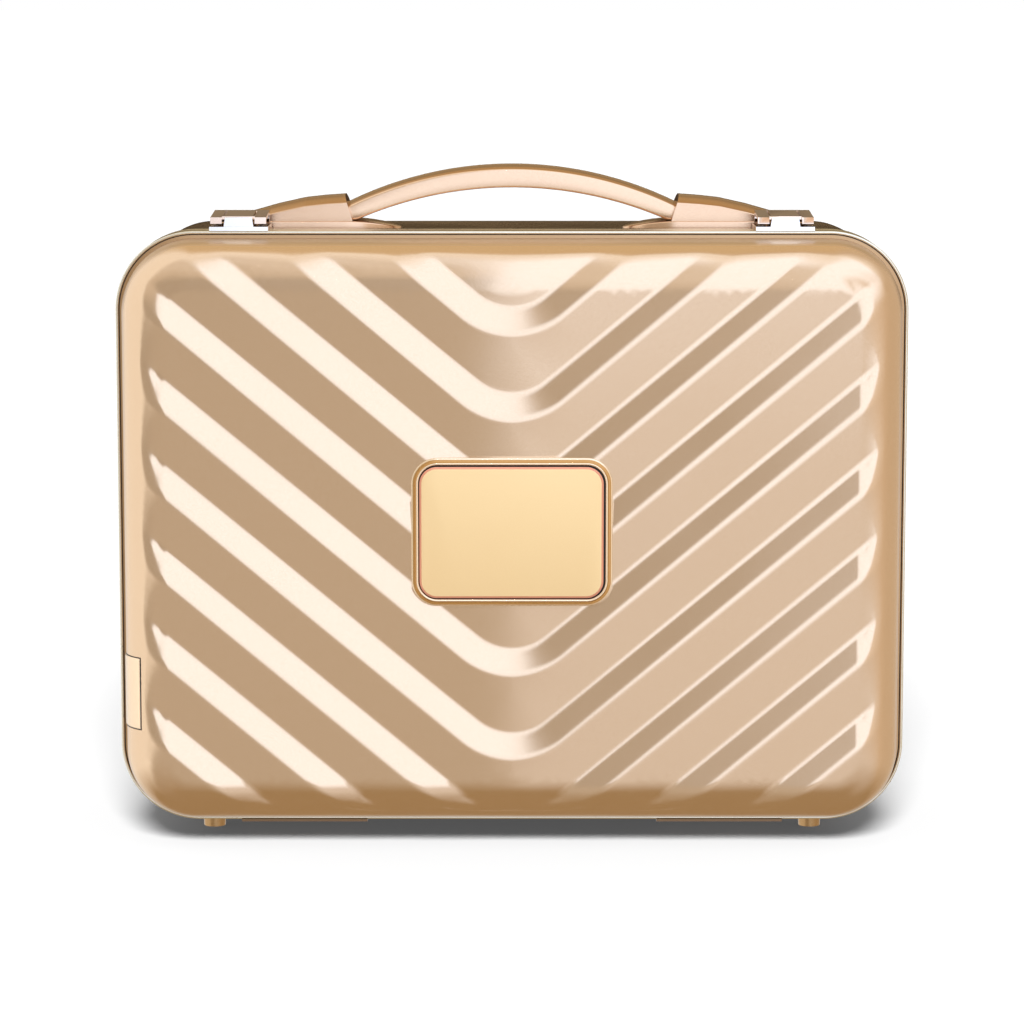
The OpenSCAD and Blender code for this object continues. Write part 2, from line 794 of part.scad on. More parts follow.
// Strap between its two arcs, seen from the front
module strap_outline(x0, x1) {
    intersection() {
        translate([0, half_h + strap_centre]) circle(strap_top_r, $fn = 256);
        translate([x0, half_h + plate_up + 0.3]) square([x1 - x0, strap_top]);
        difference() {
            translate([x0, half_h]) square([x1 - x0, strap_top + over]);
            translate([0, half_h + strap_under_centre]) circle(strap_under_r, $fn = 256);
        }
    }
}

module strap(x0, x1) {
    crown_r = (strap_w * strap_w / 4 + strap_crown * strap_crown) / (2 * strap_crown);
    translate([0, 0, handle_back]) intersection() {
        translate([0, 0, -strap_w / 2]) linear_extrude(strap_w) strap_outline(x0, x1);
        translate([0, half_h + strap_centre, 0]) rotate_extrude($fn = 256)
            intersection() {
                translate([strap_top_r - 40, -strap_w / 2]) square([40, strap_w]);
                translate([strap_top_r - crown_r, 0]) circle(crown_r);
            }
    }
}

module handle_grip() {
    color("#e8caa8") on_body() strap(-grip_half, grip_half);
}

module strap_end(side) {
    color("#e8caa8") on_body() mirror([side < 0 ? 1 : 0, 0, 0])
        strap(grip_half, mouth_x + pocket_l - 4);
}

// Cross-section of a sleeve, used as a station of its loft
module sleeve_station(x, crest) {
    soft = 0.5;
    edge = max(crest - sleeve_drop, 2 * soft);
    for (z = [-1, 1]) {
        translate([x, plate_up, z * (sleeve_w / 2 - soft) - soft]) cube([0.1, 0.2, 2 * soft]);
        translate([x, plate_up + edge - soft, z * (sleeve_w / 2 - soft)])
            rotate([0, 90, 0]) cylinder(r = soft, h = 0.1, $fn = 16);
        translate([x, plate_up + crest - soft, z * sleeve_w / 5])
            rotate([0, 90, 0]) cylinder(r = soft, h = 0.1, $fn = 16);
    }
}

// Stations of a sleeve's loft: share of its length and height of its crest above the plate
sleeve_crest = sleeve_top - plate_up;
sleeve_steps = [
    [0, sleeve_crest], [0.36, sleeve_crest - 1.4], [0.82, sleeve_crest - 6.6], [1, 1.4],
];

module sleeve(side) {
    color("#e8cbae") on_body() mirror([side < 0 ? 1 : 0, 0, 0])
        translate([0, half_h, handle_back]) difference() {
            for (i = [0 : 2]) hull() {
                sleeve_station(mouth_x + sleeve_steps[i][0] * sleeve_l, sleeve_steps[i][1]);
                sleeve_station(mouth_x + sleeve_steps[i + 1][0] * sleeve_l, sleeve_steps[i + 1][1]);
            }
            translate([mouth_x - over, plate_up - over, -strap_w / 2 - pocket_play])
                cube([pocket_l + over, strap_mouth + pocket_play - plate_up + over,
                    strap_w + 2 * pocket_play]);
        }
}

function shell_low(z) = body_inset + (z - rim_z) * tan(body_draft);

foot_spots = [foot_front, body_depth - foot_rear];

module foot_shanks(r, depth) {
    for (x = [-foot_x, foot_x], z = foot_spots)
        translate([x, -half_h - over, z]) rotate([-90, 0, 0]) cylinder(r = r, h = depth);
}

module feet() {
    color("#a8805f") on_body() difference() {
        for (x = [-foot_x, foot_x], z = foot_spots) {
            top = shell_low(z - foot_top_r) - head_play;
            translate([x, -half_h - foot_h, z]) rotate([-90, 0, 0])
                cylinder(r1 = foot_low_r, r2 = foot_top_r, h = foot_h + top);
        }
        foot_shanks(screw_r + shank_play, through);
    }
}

module foot_screws() {
    color("#9c9488") on_body() for (x = [-foot_x, foot_x], z = foot_spots) {
        low = wall_drop(z + screw_head_r) + head_play;
        translate([x, -half_h - 0.9 * over, z]) rotate([-90, 0, 0])
            cylinder(r = screw_r, h = low + over);
        translate([x, -half_h + low, z]) rotate([-90, 0, 0])
            cylinder(r = screw_head_r, h = screw_head_t);
    }
}

lid_shell();
lid_frame();
lid_lining();
mirror_glass();  // mirror
mirror_frame();
badge_rim();
badge_plate();
side_cover();
keeper(-1);  // keeper_left
keeper(1);  // keeper_right
lid_leaf(-1);  // lid_leaf_left
lid_leaf(1);  // lid_leaf_right
lid_rivets();
body_shell();
body_frame();
frame_seal();
body_lining();
long_divider();
short_divider(-1);  // short_divider_left
short_divider(1);  // short_divider_right
latch_base(-1);  // latch_base_left
latch_base(1);  // latch_base_right
latch_pin(-1);  // latch_pin_left
latch_pin(1);  // latch_pin_right
latch_lever(-1);  // latch_lever_left
latch_lever(1);  // latch_lever_right
body_leaf(-1);  // body_leaf_left
body_leaf(1);  // body_leaf_right
hinge_pin(-1);  // hinge_pin_left
hinge_pin(1);  // hinge_pin_right
body_rivets();
handle_plate(-1);  // handle_plate_left
handle_plate(1);  // handle_plate_right
sleeve(-1);  // sleeve_left
sleeve(1);  // sleeve_right
handle_grip();
strap_end(-1);  // strap_end_left
strap_end(1);  // strap_end_right
handle_screws();
feet();
foot_screws();
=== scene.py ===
# %% [markdown]
# # Dressing a hard-shell beauty case
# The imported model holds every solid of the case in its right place, in metres. This
# lesson gives it the surfaces of the real one: lacquered chevron shells, bright frames,
# plated latches, a carrying strap, and padded linings inside. Nothing is moved. Where a
# solid is too plain to show its finish, a finer piece is made in the same space.

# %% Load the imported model
from math import ceil, cos, hypot, pi, radians, sin, sqrt, tan

import bmesh
import bpy
import numpy as np
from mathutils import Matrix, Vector
from mathutils.geometry import delaunay_2d_cdt


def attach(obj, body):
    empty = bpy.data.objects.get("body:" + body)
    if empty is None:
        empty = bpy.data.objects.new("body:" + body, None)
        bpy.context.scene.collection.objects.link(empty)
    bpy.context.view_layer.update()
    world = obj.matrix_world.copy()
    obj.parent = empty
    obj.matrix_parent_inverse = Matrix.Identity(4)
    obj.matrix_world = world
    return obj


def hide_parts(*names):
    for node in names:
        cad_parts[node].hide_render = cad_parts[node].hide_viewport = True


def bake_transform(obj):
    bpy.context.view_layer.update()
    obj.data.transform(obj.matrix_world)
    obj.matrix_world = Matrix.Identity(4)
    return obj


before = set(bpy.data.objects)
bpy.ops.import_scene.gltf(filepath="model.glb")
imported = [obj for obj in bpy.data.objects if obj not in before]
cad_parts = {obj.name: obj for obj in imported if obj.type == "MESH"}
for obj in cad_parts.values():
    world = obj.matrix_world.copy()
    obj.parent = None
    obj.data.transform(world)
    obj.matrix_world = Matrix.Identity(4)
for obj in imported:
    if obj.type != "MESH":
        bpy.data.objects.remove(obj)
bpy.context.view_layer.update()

# %% [markdown]
# ## Camera
# The photograph was taken with a long lens from a little above the case, so its sides
# hardly converge and a strip of the rear half shows over the top. The lens and the height
# were found by matching the badge, the feet and the strip of the rear half. Angles and
# distances are easier to reason about than a camera placed by hand.

# %% Set up the camera
CAMERA_TILT = 8
CAMERA_DISTANCE = 1.5
LENS_MM, SENSOR_MM = 133.2, 36
AIM = Vector((0, -0.0383, 0.1293))


def stand(name, data):
    """A new object in the scene."""
    made = bpy.data.objects.new(name, data)
    bpy.context.scene.collection.objects.link(made)
    return made


camera_data = bpy.data.cameras.new("photo_camera")
camera_data.lens, camera_data.sensor_width = LENS_MM, SENSOR_MM
camera = stand("photo_camera", camera_data)
camera.rotation_euler = (radians(90 - CAMERA_TILT), 0, 0)
camera.location = AIM + CAMERA_DISTANCE * Vector(
    (0, -cos(radians(CAMERA_TILT)), sin(radians(CAMERA_TILT)))
)
bpy.context.scene.camera = camera
print("camera at", [round(v, 4) for v in camera.location])

# %% [markdown]
# ## Sizes that the pieces share
# They repeat the values that shaped the solids, in millimetres, so that a piece can be
# worked out exactly over its solid. The case is drawn from the plane on which its two
# halves meet, and each half has its own depth, inset, draft and edge radius.

# %% Name the shared sizes
MM = 0.001
CASE_W, CASE_H, CORNER_R = 310, 234, 31
# the parting plane, and the middle of the case's height
SPLIT_Y, CENTRE_Z = -38.3, 124
# how far from the parting plane a skin starts, and its walls at the side and the face
RIM_Z, SHELL_WALL, WALL_FACE = 2.55, 2.2, 4.2
LID = dict(depth=36, inset=2.6, draft=3.0, edge=18)
BODY = dict(depth=114, inset=1.6, draft=0.6, edge=18)
# depth of a frame, and half the gap between the two frames
FRAME_DEPTH, SEAM_HALF = 8, 0.15


def on_lid(x, y, z):
    """A point of the front half, z forward of the parting plane, in metres."""
    return np.stack([x, SPLIT_Y - z, CENTRE_Z + y], -1) * MM


def on_body(x, y, z):
    """A point of the rear half, z behind the parting plane, in metres."""
    return np.stack([x, SPLIT_Y + z, CENTRE_Z + y], -1) * MM


print("case, mm:", CASE_W, "wide,", CASE_H, "high,", LID["depth"] + BODY["depth"], "deep")

# %% [markdown]
# ## A mesh from numbers
# Most pieces are worked out as lists of points and faces. One function turns them into an
# object, shades them smooth below a chosen angle, gives them to a body, and hides the
# solids they stand for. Modelling by hand would do as well, but numbers keep every piece
# exactly where its solid is.

# %% Make a piece
# points closer than a thousandth of a millimetre are one
WELD = 1e-6


def hand_over(name, mesh, body, nodes):
    """Put a piece in the scene, give it to what carries it, and hide the solids it stands for."""
    piece = stand(name, mesh)
    if body:
        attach(piece, body)
    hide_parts(*nodes)
    print(name, len(mesh.vertices), "points,", len(mesh.polygons), "faces")
    return piece


def make_piece(name, points, faces, body, nodes, sharp=35, normals=None, marks=None):
    """An object from points and faces; marks say which of its materials a face takes."""
    mesh = bpy.data.meshes.new(name)
    mesh.from_pydata([tuple(p) for p in points], [], [tuple(f) for f in faces])
    if marks is not None:
        mesh.polygons.foreach_set("material_index", marks)
    mesh.validate()
    if normals is None:
        work = bmesh.new()
        work.from_mesh(mesh)
        bmesh.ops.remove_doubles(work, verts=work.verts, dist=WELD)
        bmesh.ops.recalc_face_normals(work, faces=work.faces)
        work.to_mesh(mesh)
        work.free()
        mesh.shade_smooth()
        mesh.set_sharp_from_angle(angle=radians(sharp))
    else:
        mesh.shade_smooth()
        mesh.normals_split_custom_set_from_vertices([tuple(n) for n in normals])
    return hand_over(name, mesh, body, nodes)


# %% [markdown]
# ## Paths round a rounded rectangle
# Shells, frames, linings and the badge all follow a rounded rectangle. A station on the
# path has a foot on the corner's centre and a direction outward; a section is then given
# as distances from that foot, so one path carries every section.

# %% Walk round a rounded rectangle
def round_path(w, h, r, turn=3.0, step=6.0):
    """Feet and directions round a rectangle, every few degrees and millimetres."""
    ax, ay = w / 2 - r, h / 2 - r
    stops = int(ceil(90 / turn))
    feet, ways = [], []
    for quarter, (sx, sy) in enumerate(((1, 1), (-1, 1), (-1, -1), (1, -1))):
        for i in range(stops + 1):
            angle = radians(90 * quarter + 90 * i / stops)
            feet.append((sx * ax, sy * ay))
            ways.append((cos(angle), sin(angle)))
        nx, ny = [(-ax, ay), (-ax, -ay), (ax, -ay), (ax, ay)][quarter]
        run = hypot(nx - sx * ax, ny - sy * ay)
        count = int(run // step)
        for i in range(1, count):
            t = i / count
            feet.append((sx * ax + t * (nx - sx * ax), sy * ay + t * (ny - sy * ay)))
            ways.append(ways[-1])
    return np.array(feet), np.array(ways)


def carry(path, section):
    """Points and faces of a closed section carried round a path."""
    feet, ways = path
    count, size = len(feet), len(section)
    rings = [
        np.column_stack([feet + q * ways, np.full(count, z)]) for q, z in section
    ]
    points = np.concatenate(rings)
    faces = [
        (
            a * count + i,
            a * count + (i + 1) % count,
            (a + 1) % size * count + (i + 1) % count,
            (a + 1) % size * count + i,
        )
        for a in range(size)
        for i in range(count)
    ]
    return points, faces


def arc(cx, cy, r, start, end, steps):
    """Points of an arc in a section, angles in degrees."""
    return [
        (cx + r * cos(radians(a)), cy + r * sin(radians(a)))
        for a in np.linspace(start, end, steps + 1)
    ]


print("stations round the case:", len(round_path(CASE_W, CASE_H, CORNER_R)[0]))

# %% [markdown]
# ## The chevron shells
# Each half is a thin pillow of moulded polycarbonate. Its face carries V-shaped facets: a
# steep bevel falls away above each crest and a long facet climbs back to the next crest.
# The bend at the foot of every V is round. A grid whose rows run along the crests keeps
# the edges crisp with few faces, and the skin wraps over the round edge beyond it.

# %% Describe the facets
# step from one V to the next, foot of the middle one, and slope of the arms
VEE_PERIOD, VEE_START, VEE_ARM = 33.25, 13.1, radians(39.8)
# radius of a crest's bend, and breadths of the steep bevel and the long facet
BEND_R, BEVEL, FACET = 30.3, 9.3, 16.2
# depths below the smooth pillow, and how far their edges are eased
CREST, VALLEY = 0.04, 2.1
CREST_EASE, CREST_REACH, VALLEY_EASE = 0.6, 3.5, 0.5
# how far past the flat of the face the facets hold, and where they have run out
HOLD_TOP, HOLD_SIDE, RUNOUT_TOP, RUNOUT_SIDE = 7.0, 2.0, 16.3, 10.8
CORNER_SHIFT = 3


def line_distance(x, y, centre):
    """Distance from a chevron's bend centre, carried on along its arms."""
    ax, dy = np.abs(x), y - centre
    straight = ax * sin(VEE_ARM) - dy * cos(VEE_ARM)
    return np.where(ax * cos(VEE_ARM) + dy * sin(VEE_ARM) >= 0, straight, np.hypot(x, dy))


def line_height(x, centre, r):
    """Height at which a chevron line of radius r crosses x."""
    ax = np.abs(x)
    bend = centre - np.sqrt(np.maximum(r * r - x * x, 0))
    arm = centre + ax * tan(VEE_ARM) - r / cos(VEE_ARM)
    return np.where(ax <= r * sin(VEE_ARM), bend, arm)


def soft_least(a, b, ease):
    """The lesser of two heights, rounded where they cross."""
    gap = np.maximum(ease - np.abs(a - b), 0) / ease
    return np.minimum(a, b) - gap * gap * ease / 4


def groove_depth(x, y):
    """Depth of the facets below the smooth pillow."""
    depth = np.full(np.shape(x), 9.0)
    crest = np.full(np.shape(x), -9.0)
    for k in range(-8, 5):
        centre = VEE_START + k * VEE_PERIOD + BEND_R
        below = line_distance(x, y, centre)
        above = line_distance(x, y, centre + VEE_PERIOD)
        fall = VALLEY - CREST
        bevel = CREST + fall * (BEND_R - below) / BEVEL
        up, down = above - BEND_R, BEND_R - BEVEL - below
        facet = CREST + fall * up / np.maximum(up + down, 4)
        here = (below < BEND_R + 0.01) & (above >= BEND_R - 0.01)
        groove = soft_least(bevel, facet, VALLEY_EASE)
        depth = np.where(here, groove, depth)
        # the crest is eased from both sides with the facet that lies beyond it
        beyond = CREST + fall * np.abs(below - BEND_R) / np.where(below < BEND_R, BEVEL, FACET)
        near = np.abs(below - BEND_R) < CREST_REACH
        slopes = fall / BEVEL + fall / FACET
        ease = np.maximum(CREST_EASE - slopes * np.abs(below - BEND_R), 0) / CREST_EASE
        crest = np.where(near, ease * ease * CREST_EASE / 4, np.maximum(crest, 0))
        depth = depth + np.where(near, crest, 0)
    return depth


print("facets:", round(VEE_PERIOD * cos(VEE_ARM), 2), "mm apart,", VALLEY, "mm deep")

# %% [markdown]
# The pillow itself is a section: flat face, round edge and drafted side. Points of the
# face lie on a plan that is unrolled, so that the edge can be walked over by length. The
# facets fade out softly over the round edge, a little later at the top than at the sides.

# %% Describe the pillow
class Pillow:
    def __init__(self, inset, depth, edge, draft, start=RIM_Z):
        self.w, self.h, self.r = CASE_W - 2 * inset, CASE_H - 2 * inset, CORNER_R - inset
        self.depth, self.edge, self.draft = depth, edge, radians(draft)
        self.rise = depth - start - edge
        self.flat = self.r - self.rise * tan(self.draft) - edge / cos(self.draft)
        self.turn = pi / 2 - self.draft
        self.wall = self.rise / cos(self.draft) + edge * tan(self.draft)
        self.length = self.flat + edge * self.turn + self.wall

    def foot(self, x, y):
        """Distance and direction outward of plan points from their corner's foot."""
        u, v = np.abs(x) - (self.w / 2 - self.r), np.abs(y) - (self.h / 2 - self.r)
        corner = (u > 0) & (v > 0)
        q = np.where(corner, np.hypot(u, v), np.maximum(u, v))
        size = np.maximum(np.hypot(u, v), 1e-9)
        wx = np.where(corner, u / size, np.where(u > v, 1.0, 0.0)) * np.sign(x)
        wy = np.where(corner, v / size, np.where(u > v, 0.0, 1.0)) * np.sign(y)
        return q, wx, wy

    def section(self, s):
        """Distance from the foot, height and slope angle at length s along the skin."""
        angle = np.clip((s - self.flat) / self.edge, 0, self.turn)
        beyond = np.maximum(s - self.flat - self.edge * self.turn, 0)
        q = np.minimum(s, self.flat) + self.edge * np.sin(angle) + beyond * sin(self.draft)
        z = self.depth - self.edge * (1 - np.cos(angle)) - beyond * cos(self.draft)
        return q, z, angle

    def fall(self, q):
        """Depth of the round edge below the face at distance q."""
        part = np.clip((q - self.flat) / self.edge, 0, 0.999)
        return self.edge * (1 - np.sqrt(1 - part * part))


def face_height(pillow, x, y):
    """Height of the face with its facets."""
    q, _, way = pillow.foot(x, y)
    upright = way * way
    corner = 4 * upright * (1 - upright) * (y > 0)
    hold = HOLD_SIDE + (HOLD_TOP - HOLD_SIDE) * upright - CORNER_SHIFT * corner
    reach = RUNOUT_SIDE + (RUNOUT_TOP - RUNOUT_SIDE) * upright + CORNER_SHIFT * corner
    part = np.clip((q - pillow.flat - hold) / (reach - hold), 0, 1)
    return pillow.depth - pillow.fall(q) - groove_depth(x, y) * (1 - part * part * (3 - 2 * part))


for half, sizes in (("front", LID), ("rear", BODY)):
    print(half, "half, mm along its section:", round(Pillow(**sizes).length, 1))

# %% [markdown]
# The face needs points where its form turns: along crests, valleys and bends. A plain
# even grid would blur them or need far more faces. Rows of points follow the crests, and
# the rows' edges are kept when the points are joined.

# %% Lay points along the crests
# the grid covers the round edge up to this slope, and rings take over from there
GRID_ANGLE = radians(64)


def shell_grid(pillow, columns):
    """Plan points on rows that run along the crests and valleys, and the rows' edges."""
    reach = pillow.flat + pillow.edge * sin(GRID_ANGLE)
    offsets = [0, 0.4, 0.9, 1.5, 2.2, 3.2, 5.2, 7.2, 7.9, 8.6, 9.3, 10.0, 10.8]
    climb = [0.05, 0.12, 0.3, 0.5, 0.7, 0.82, 0.88, 0.925, 0.96, 0.98]
    rows = []
    for k in range(-9, 5):
        centre = VEE_START + k * VEE_PERIOD + BEND_R
        low = [line_height(columns, centre, BEND_R - d) for d in offsets]
        top = line_height(columns, centre + VEE_PERIOD, BEND_R)
        rows += low + [low[-1] + (top - low[-1]) * t for t in climb]
    y = np.array(rows)
    x = np.broadcast_to(columns, y.shape)
    keep = (np.abs(x) < pillow.w / 2) & (np.abs(y) < pillow.h / 2)
    keep &= pillow.foot(x, y)[0] <= reach
    number = np.cumsum(keep.ravel()).reshape(keep.shape) - 1
    joined = keep[:, :-1] & keep[:, 1:]
    edges = list(zip(number[:, :-1][joined].tolist(), number[:, 1:][joined].tolist()))
    return x[keep], y[keep], edges


def unroll(pillow, x, y):
    """Plan points pushed outward by the length that the round edge hides."""
    q, wx, wy = pillow.foot(x, y)
    arc_part = np.clip((q - pillow.flat) / pillow.edge, 0, 0.999)
    s = np.where(q > pillow.flat, pillow.flat + pillow.edge * np.arcsin(arc_part), q)
    return x + (s - q) * wx, y + (s - q) * wy


print("the grid ends where the edge has turned", round(GRID_ANGLE * 180 / pi), "degrees")

# %% [markdown]
# Joining the points on the unrolled plan gives clean triangles over the round edge too.
# The back of the skin is plain rings one wall away, because the lining hides it.

# %% Join the points to a closed skin
def pillow_skin(front, back, grid, height, lengths, path):
    """A closed skin: a detailed front over a grid, and a plain back one wall away."""
    gx, gy, edges = grid
    # slopes of the height are measured over a tenth of a millimetre to each side
    step = 0.1
    slope_x = (height(gx + step, gy) - height(gx - step, gy)) / (2 * step)
    slope_y = (height(gx, gy + step) - height(gx, gy - step)) / (2 * step)
    plan = [np.column_stack(unroll(front, gx, gy))]
    solid = [np.column_stack([gx, gy, height(gx, gy)])]
    normal = [np.column_stack([-slope_x, -slope_y, np.ones(len(gx))])]
    feet, ways = path
    count = len(feet)
    for s, bulge in lengths:
        q, z, angle = front.section(np.array(s))
        plan.append(feet + s * ways)
        solid.append(np.column_stack([feet + (q - bulge) * ways, np.full(count, z)]))
        normal.append(np.column_stack([sin(angle) * ways, np.full(count, cos(angle))]))
    plan = np.concatenate(plan)
    _, _, faces, kept, _, _ = delaunay_2d_cdt([Vector(p) for p in plan], edges, [], 0, 1e-5)
    source = [k[0] for k in kept]
    points, normals = [np.concatenate(solid)[source]], [np.concatenate(normal)[source]]
    where = {k[0]: i for i, k in enumerate(kept)}
    rings = [[where[len(plan) - count + i] for i in range(count)]]
    for s in np.linspace(back.length, back.flat, 12):
        q, z, angle = back.section(np.array(s))
        first = sum(len(p) for p in points)
        rings.append(list(range(first, first + count)))
        points.append(np.column_stack([feet + q * ways, np.full(count, z)]))
        normals.append(-np.column_stack([sin(angle) * ways, np.full(count, cos(angle))]))
    faces = [tuple(f) for f in faces]
    for a, b in zip(rings, rings[1:]):
        faces += [(a[i], b[i], b[(i + 1) % count], a[(i + 1) % count]) for i in range(count)]
    faces.append(tuple(rings[-1]))
    return np.concatenate(points), np.concatenate(normals), faces


def shell_skin(name, sizes, place, body, node):
    """One half's skin, with its slopes kept as normals so that it shades smoothly."""
    outer = Pillow(**sizes)
    inner = Pillow(
        sizes["inset"] + SHELL_WALL,
        sizes["depth"] - WALL_FACE,
        sizes["edge"] - SHELL_WALL,
        sizes["draft"],
    )
    # columns are close at the bend and at the sides, where the form turns
    half = [np.arange(0.6, 34, 1.2), np.arange(34, 118, 2.6), np.arange(118, 160, 1.3)]
    half = np.concatenate(half)
    columns = np.concatenate([-half[::-1], [0], half])
    arc_end = outer.flat + outer.edge * outer.turn
    lengths = [outer.flat + outer.edge * radians(a) for a in (65.5, 68, 72, 76, 80, 85)]
    lengths += list(np.linspace(arc_end, outer.length, max(3, int(outer.wall // 8))))
    points, normals, faces = pillow_skin(
        outer,
        inner,
        shell_grid(outer, columns),
        lambda x, y: face_height(outer, x, y),
        [(s, 0) for s in lengths],
        round_path(outer.w, outer.h, outer.r, 2.5, 3.0),
    )
    if place is on_body:
        faces = [f[::-1] for f in faces]
    origin = place(np.zeros(1), np.zeros(1), np.zeros(1))
    turned = place(*normals.T) - origin
    turned /= np.linalg.norm(turned, axis=1)[:, None]
    return make_piece(name, place(*points.T), faces, body, [node], normals=turned)


lid_skin = shell_skin("lid_skin", LID, on_lid, "lid", "lid_shell")
body_skin = shell_skin("body_skin", BODY, on_body, "case", "body_shell")

# %% [markdown]
# ## Colours and a small helper for materials
# A colour is written as its sRGB hex value, as a picture shows it, and turned to the linear
# light that the shader works in. One function adds a node with its settings and links.

# %% Turn hex colours to linear light, and add nodes
def linear(code):
    parts = [int(code[i : i + 2], 16) / 255 for i in (1, 3, 5)]
    parts = [c / 12.92 if c <= 0.04045 else ((c + 0.055) / 1.055) ** 2.4 for c in parts]
    return (*parts, 1.0)


def add(tree, kind, inputs=None, **settings):
    """A node with its settings; an input is a value or the socket that feeds it."""
    made = tree.nodes.new(kind)
    for key, value in settings.items():
        setattr(made, key, value)
    for socket, value in (inputs or {}).items():
        if isinstance(value, bpy.types.NodeSocket):
            tree.links.new(value, made.inputs[socket])
        else:
            made.inputs[socket].default_value = value
    return made


def finish_named(name, **shader):
    """A new material with its main shader, ready for its pattern."""
    material = bpy.data.materials.new(name)
    material.use_nodes = True
    tree = material.node_tree
    main = tree.nodes["Principled BSDF"]
    for socket, value in shader.items():
        main.inputs[socket.replace("_", " ")].default_value = value
    print("finish:", name)
    return material, tree, main


def wear(piece, *materials):
    """Dress a piece; each face keeps the number of its material."""
    mesh = piece.data
    marks = [face.material_index for face in mesh.polygons]
    mesh.materials.clear()
    for material in materials:
        mesh.materials.append(material)
    if len(materials) > 1:
        mesh.polygons.foreach_set("material_index", marks)


# %% [markdown]
# ## Pearl-lacquered polycarbonate
# The shells are moulded polycarbonate, sprayed with a champagne lacquer that holds metal
# flakes. The flakes give a satin shine and a very fine grain; handling polishes and pales
# the crests a little. A metallic shader with a noise in its colour and relief gives that,
# and most other finishes of the case are the same recipe with their own values.

# %% Lacquer the shells
# size of the faint clouds in the gloss, in millimetres
CLOUD_MM = 60


def lacquer(name, dark, light, metallic, rough, flake_mm=0.5, bump=0.02, coat=0.25):
    """Sprayed or plated skin: a fine grain, paler crests and faint clouds of gloss."""
    material, tree, main = finish_named(
        name, Metallic=metallic, Coat_Weight=coat, Coat_Roughness=0.12
    )
    place = add(tree, "ShaderNodeTexCoord").outputs["Object"]
    # real flakes are near 0.05 mm; they are drawn ten times as coarse or more, to show
    grain = {"Vector": place, "Scale": 1000 / flake_mm, "Detail": 3.0}
    flake = add(tree, "ShaderNodeTexNoise", grain).outputs["Fac"]
    drift = {"Vector": place, "Scale": 1000 / CLOUD_MM}
    cloud = add(tree, "ShaderNodeTexNoise", drift).outputs["Fac"]
    tints = {0: flake, 6: linear(dark), 7: linear(light)}
    shade = add(tree, "ShaderNodeMix", tints, data_type="RGBA").outputs[2]
    crest = add(tree, "ShaderNodeNewGeometry").outputs["Pointiness"]
    rub = {"Value": crest, "From Min": 0.51, "From Max": 0.56, "To Max": 0.35}
    worn = add(tree, "ShaderNodeMapRange", rub).outputs["Result"]
    tints = {0: worn, 6: shade, 7: linear(light)}
    paler = add(tree, "ShaderNodeMix", tints, data_type="RGBA").outputs[2]
    gloss = {"Value": cloud, "From Min": 0.3, "From Max": 0.7}
    gloss.update({"To Min": rough - 0.02, "To Max": rough + 0.02})
    gloss = add(tree, "ShaderNodeMapRange", gloss).outputs["Result"]
    relief = {"Height": flake, "Strength": bump, "Distance": 0.0002}
    relief = add(tree, "ShaderNodeBump", relief).outputs["Normal"]
    for socket, value in (("Base Color", paler), ("Roughness", gloss), ("Normal", relief)):
        tree.links.new(value, main.inputs[socket])
    return material


pearl_lacquer = lacquer("pearl_lacquered_polycarbonate", "#D8BB9C", "#E4CBB0", 0.97, 0.17)
wear(body_skin, pearl_lacquer)

# %% [markdown]
# The spray hits the face squarely and the side wall at a slant, so the wall of the front
# half next to the seam stays duller and mirrors the latches less. The same lacquer gets a
# roughness that rises toward the seam.

# %% Dull the lid's side wall
def dull_side(material, start_mm, end_mm, rough):
    """Raise the roughness between two places on the way back to the seam."""
    tree = material.node_tree
    main = tree.nodes["Principled BSDF"]
    buffed = main.inputs["Roughness"].links[0].from_socket
    place = add(tree, "ShaderNodeTexCoord").outputs["Object"]
    along = add(tree, "ShaderNodeSeparateXYZ", {"Vector": place}).outputs["Y"]
    way = {"Value": along, "From Min": start_mm * MM, "From Max": end_mm * MM}
    share = add(tree, "ShaderNodeMapRange", way).outputs["Result"]
    mixed = {"Factor": share, "A": buffed, "B": rough}
    mixed = add(tree, "ShaderNodeMix", mixed, data_type="FLOAT")
    tree.links.new(mixed.outputs["Result"], main.inputs["Roughness"])
    main.inputs["Coat Weight"].default_value = 0.0


lid_lacquer = lacquer("pearl_lacquered_lid", "#D8BB9C", "#E4CBB0", 0.97, 0.17)
dull_side(lid_lacquer, -66, -57, 0.45)
wear(lid_skin, lid_lacquer)

# %% [markdown]
# ## Frames with a bright bead
# Each shell sits in a channel of extruded aluminium. Its outer wall ends in a round bead
# that shines as a thin pale line round the front half. Beside the bead lies a narrow dark
# groove, and then a shallow gilt floor that runs up to the shell. One section carried
# round the case gives all of it, as the extrusion is bent round the real one.

